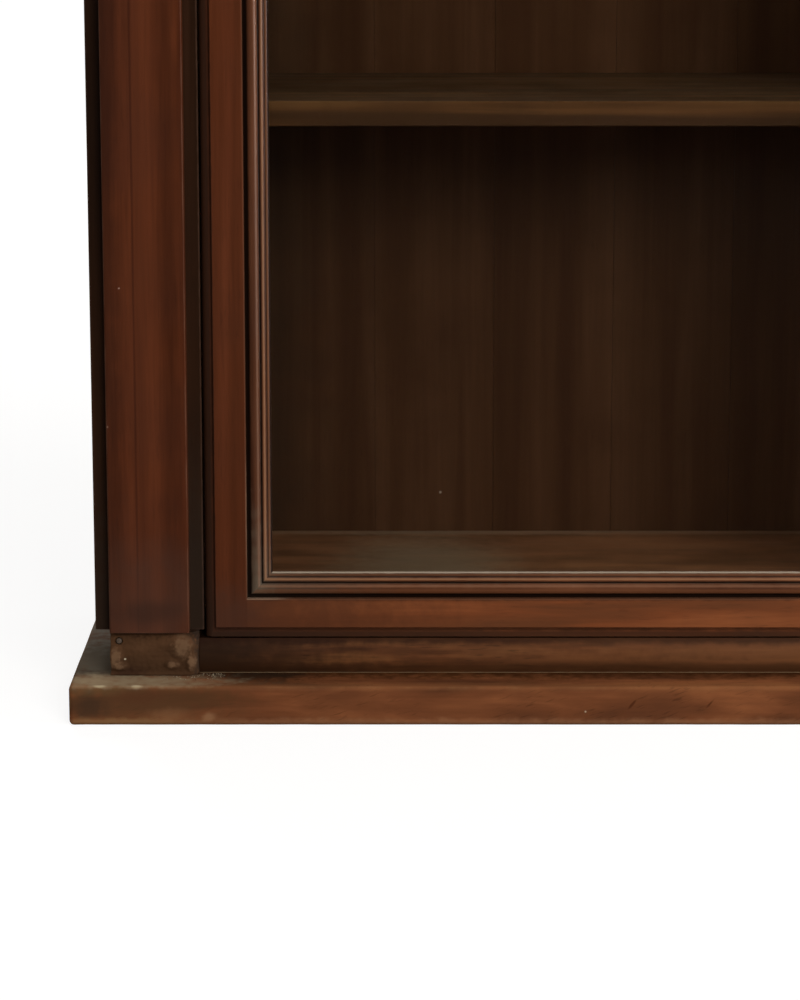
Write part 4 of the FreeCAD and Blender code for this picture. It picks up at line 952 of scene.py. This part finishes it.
# %% [markdown]
# ## Nail heads, screws and pins
# Small heads hold the fittings and the back. A head is a short cylinder whose rim is bevelled and, on a
# screw, whose top is cut across with two bisects, so that the strip between them can be pushed in as the
# slot. Each kind is modelled once, facing the front, and copied to its places.

# %% Heads tool
def heads(name, body, metal, radius, rise, spots, slotted=True, facing_back=False):
    """Heads of one kind at their spots, which lie on the surface that they hold, joined into one piece."""
    bpy.ops.object.select_all(action="DESELECT")
    bpy.ops.mesh.primitive_cylinder_add(vertices=16, radius=radius, depth=4 * rise, location=(0, rise, 0),
                                        rotation=(math.pi / 2, 0, 0))
    first = bpy.context.object
    bpy.ops.object.transform_apply(location=True, rotation=True, scale=True)
    bpy.ops.object.mode_set(mode="EDIT")
    choose(first, "EDGE", lambda e: all(v.co.y < -0.9 * rise for v in e.verts))
    bpy.ops.mesh.bevel(offset=0.5 * rise, segments=2, affect="EDGES")
    if slotted:
        for edge in (-0.16 * radius, 0.16 * radius):
            bpy.ops.mesh.select_all(action="SELECT")
            bpy.ops.mesh.bisect(plane_co=(edge, 0, 0), plane_no=(1, 0, 0.3))
        choose(first, "FACE", lambda f: f.normal.y < -0.99 and f.calc_center_median().length < 1.2 * rise)
        bpy.ops.mesh.extrude_region_move(TRANSFORM_OT_translate={"value": (0, 0.7 * rise, 0)})
    bpy.ops.mesh.select_all(action="SELECT")
    if facing_back:
        bpy.ops.transform.rotate(value=math.pi, orient_axis="Z", center_override=(0, 0, 0))
    bpy.ops.object.mode_set(mode="OBJECT")
    copies = []
    for spot in spots:
        copies.append(copy_of(first))
        bpy.ops.transform.translate(value=spot)
        bpy.ops.object.transform_apply(location=True)
    bpy.data.objects.remove(first)
    piece = joined(name, copies)
    bpy.ops.object.shade_smooth_by_angle(angle=math.radians(35))
    piece.data.materials.append(metal)
    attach(piece, body)
    print(name, len(spots), "heads")


# %% Heads in their places
sunk = Vector((0, 1.2 * MM, 0))
heads("block_nails", "case", RUSTY_IRON, 2.2 * MM, 0.7 * MM,
      [nail_spot + sunk, Vector((-nail_spot.x, nail_spot.y, nail_spot.z)) + sunk], slotted=False)
low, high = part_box("escutcheon")
heads("escutcheon_pins", "right_door", BRASS, 1.1 * MM, 0.5 * MM,
      [((low.x + high.x) / 2, low.y, z) for z in (low.z + 3.6 * MM, high.z - 3.6 * MM)], slotted=False)
low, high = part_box("lock_case")
heads("lock_screws", "right_door", BRASS, 2.2 * MM, 0.6 * MM,
      [(x, high.y, z) for x in (low.x + 4 * MM, high.x - 4 * MM) for z in (low.z + 5 * MM, high.z - 5 * MM)],
      facing_back=True)
low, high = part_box("strike_plate")
heads("strike_screws", "left_door", BRASS, 2.0 * MM, 0.4 * MM,
      [((low.x + high.x) / 2, high.y, z) for z in (low.z + 6 * MM, high.z - 6 * MM)], facing_back=True)

# %% [markdown]
# ## Dust at the foot
# Fluff and wood crumbs lie where the blocks and the rail meet the plinth, out of the broom's reach. One
# crumb is a small ball of triangles with its points shaken, and the copies are turned, flattened and drawn
# out. Scattering them with a particle system would hide where they lie, so their places are drawn here.

# %% Crumbs
CRUMBS = 150
block_low, block_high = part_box("base_block_left")
neck_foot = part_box("neck_front_rail")[0].y + 0.925 * MM
block_end = block_high.x
chance = random.Random(7)
bpy.ops.object.select_all(action="DESELECT")
bpy.ops.mesh.primitive_ico_sphere_add(subdivisions=1, radius=MM)
crumb = bpy.context.object
bpy.ops.object.mode_set(mode="EDIT")
bpy.ops.mesh.select_all(action="SELECT")
bpy.ops.transform.vertex_random(offset=0.45 * MM, seed=3)
bpy.ops.object.mode_set(mode="OBJECT")
crumbs = []
for index in range(CRUMBS):
    piece = copy_of(crumb)
    # Half of them lie in a heap beside the block, the others along the foot of block and rail
    heap = index % 2
    across = chance.gauss(12.9, 4.5) if heap else chance.uniform(-32.6, 22.4)
    foot = block_low.y - 0.5 * MM if across < 0.4 else neck_foot
    size = chance.uniform(0.13, 0.42)
    forward = abs(chance.gauss(2, 8)) * MM
    piece.location = (block_end + across * MM, foot - forward, block_low.z + 0.2 * size * MM)
    piece.scale = (size * chance.choice((1, 1.3, 3.2)), size, size * 0.6)
    piece.rotation_euler = (0, 0, chance.uniform(0, math.pi))
    bpy.ops.object.transform_apply(location=True, rotation=True, scale=True)
    crumbs.append(piece)
bpy.data.objects.remove(crumb)
crumbs = joined("dust_crumbs_left", crumbs)
print("crumbs:", len(crumbs.data.polygons), "faces a side")

# %% Finish of the crumbs
# Settled dust has no shine, and its pale and dark bits tell it from the wood
fluff, tree, shader = new_material("house dust and wood crumbs, settled")
place = add(tree, "TexCoord", out="Object")
bits = add(tree, "TexNoise", {"Vector": place, "Scale": 1 / (1.2 * MM), "Detail": 2.0}, "Fac")
tone = add(tree, "ValToRGB", {"Fac": bits}, "Color")
stops = tone.node.color_ramp.elements
stops[0].position, stops[0].color = 0.42, linear("#2a2019")
stops[1].position, stops[1].color = 0.55, linear("#a3937a")
tree.links.new(tone, shader.inputs["Base Color"])
shader.inputs["Roughness"].default_value = 0.95
shader.inputs["Specular IOR Level"].default_value = 0.0
crumbs.data.materials.append(fluff)
for piece in (crumbs, other_side(crumbs, "dust_crumbs_right")):
    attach(piece, "case")
    print(piece.name, "finished")

# %% [markdown]
# ## Back boards
# Twelve upright boards, tongued together. One is modelled: its side is cut in three with bisect, and the
# middle strip is extruded into the tongue. The others are copies of it, moved along. An Array would be
# quicker, but the last board has to lose its tongue.

# %% Back boards
BOARDS, TONGUE = 12, 5 * MM
# The boards are this much thinner than their CAD node, so that the nail heads stay inside its box
HEAD_ROOM = 0.5 * MM
low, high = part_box("back_boards")
pitch = (high.x - low.x + 0.6 * MM) / BOARDS
first_board = start_block("back_board", low, (low.x + pitch - 0.2 * MM, high.y - HEAD_ROOM, high.z))
choose(first_board, "EDGE", lambda e: abs(e.verts[0].co.z - e.verts[1].co.z) > 1)
bpy.ops.mesh.bevel(offset=0.2 * MM, segments=1, affect="EDGES")
for tongue_side in (4.5 * MM, 7.5 * MM):
    bpy.ops.mesh.select_all(action="SELECT")
    bpy.ops.mesh.bisect(plane_co=(0, low.y + tongue_side, 0), plane_no=(0, 1, 0))
choose(first_board, "FACE",
       lambda f: f.normal.x > 0.99 and abs(f.calc_center_median().y - low.y - 6 * MM) < MM)
bpy.ops.mesh.extrude_region_move(TRANSFORM_OT_translate={"value": (TONGUE, 0, 0)})
bpy.ops.object.mode_set(mode="OBJECT")
boards = [first_board]
for index in range(1, BOARDS):
    boards.append(copy_of(first_board))
    bpy.ops.transform.translate(value=(pitch * index, 0, 0))
    bpy.ops.object.transform_apply(location=True)
back = joined("back_boards_tongued", boards)
bpy.ops.object.mode_set(mode="EDIT")
bpy.ops.mesh.select_all(action="SELECT")
bpy.ops.mesh.bisect(plane_co=high, plane_no=(1, 0, 0), use_fill=True, clear_outer=True)
bpy.ops.object.mode_set(mode="OBJECT")
print("back boards:", len(back.data.polygons), "faces")

# %% Finish and nails of the back
# Counted from the case's middle on the floor: a dark left side and a speck of paint
BACK_MARKS = (((-580, 0, 300), (130, 50, 3000), "#2e2118", 0.6),
              ((-368, 0, 114.6), (1.6, 20, 1.6), "#aa968a", 0.8))
# Heights of the rows of nails: into the bottom board, the ceiling board and the top
NAIL_ROWS = (74.5 * MM, 1846.5 * MM, 1925 * MM)
back.data.materials.append(wood("stained pine, oiled, back boards", BACK_STAIN, "z", 0.6, figure=24 * MM,
                                shine=0.05, boards=(low.x, pitch), rag=0.6, grit=40 * MM,
                                blots=marks((0, low.y, 0), 1, BACK_MARKS)))
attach(back, "case")
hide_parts("back_boards")
heads("back_board_nails", "case", RUSTY_IRON, 2.6 * MM, 0.4 * MM,
      [(low.x + pitch * (index + share), high.y - HEAD_ROOM, z) for index in range(BOARDS)
       for share in (0.2, 0.8) for z in NAIL_ROWS], slotted=False, facing_back=True)

# %% [markdown]
# ## Glass
# Old drawn sheet glass is clear, a little wavy and a little dusty. Lamps shine through it, so that what is
# behind the doors is lit: to light that comes from a lamp or a matt surface, the pane is simply clear.

# %% Glass
# Clear to look through, with reflections that swim a little
glass, tree, shader = new_material("drawn sheet glass, slightly wavy")
place = add(tree, "TexCoord", out="Object")
wave = add(tree, "TexNoise", {"Vector": place, "Scale": 1 / (60 * MM), "Detail": 1.0}, "Fac")
bump = add(tree, "Bump", {"Height": wave, "Strength": 0.02, "Distance": 1 * MM})
shader.inputs["Base Color"].default_value = linear("#eef2ee")
shader.inputs["Transmission Weight"].default_value = 1.0
shader.inputs["Roughness"].default_value = 0.0
shader.inputs["IOR"].default_value = 1.5
tree.links.new(bump, shader.inputs["Normal"])
path = add(tree, "LightPath").node.outputs
clear = add(tree, "BsdfTransparent", {"Color": linear("#e4e8e4")})
lamp_clear = add(tree, "MixShader", {0: path["Is Shadow Ray"], 1: shader.outputs[0], 2: clear})
pane = add(tree, "MixShader", {0: path["Is Diffuse Ray"], 1: lamp_clear, 2: clear})
tree.links.new(pane, tree.nodes["Material Output"].inputs["Surface"])
for side in ("left", "right"):
    dress(side + "_door_glass", glass)
print("panes of", glass.name)
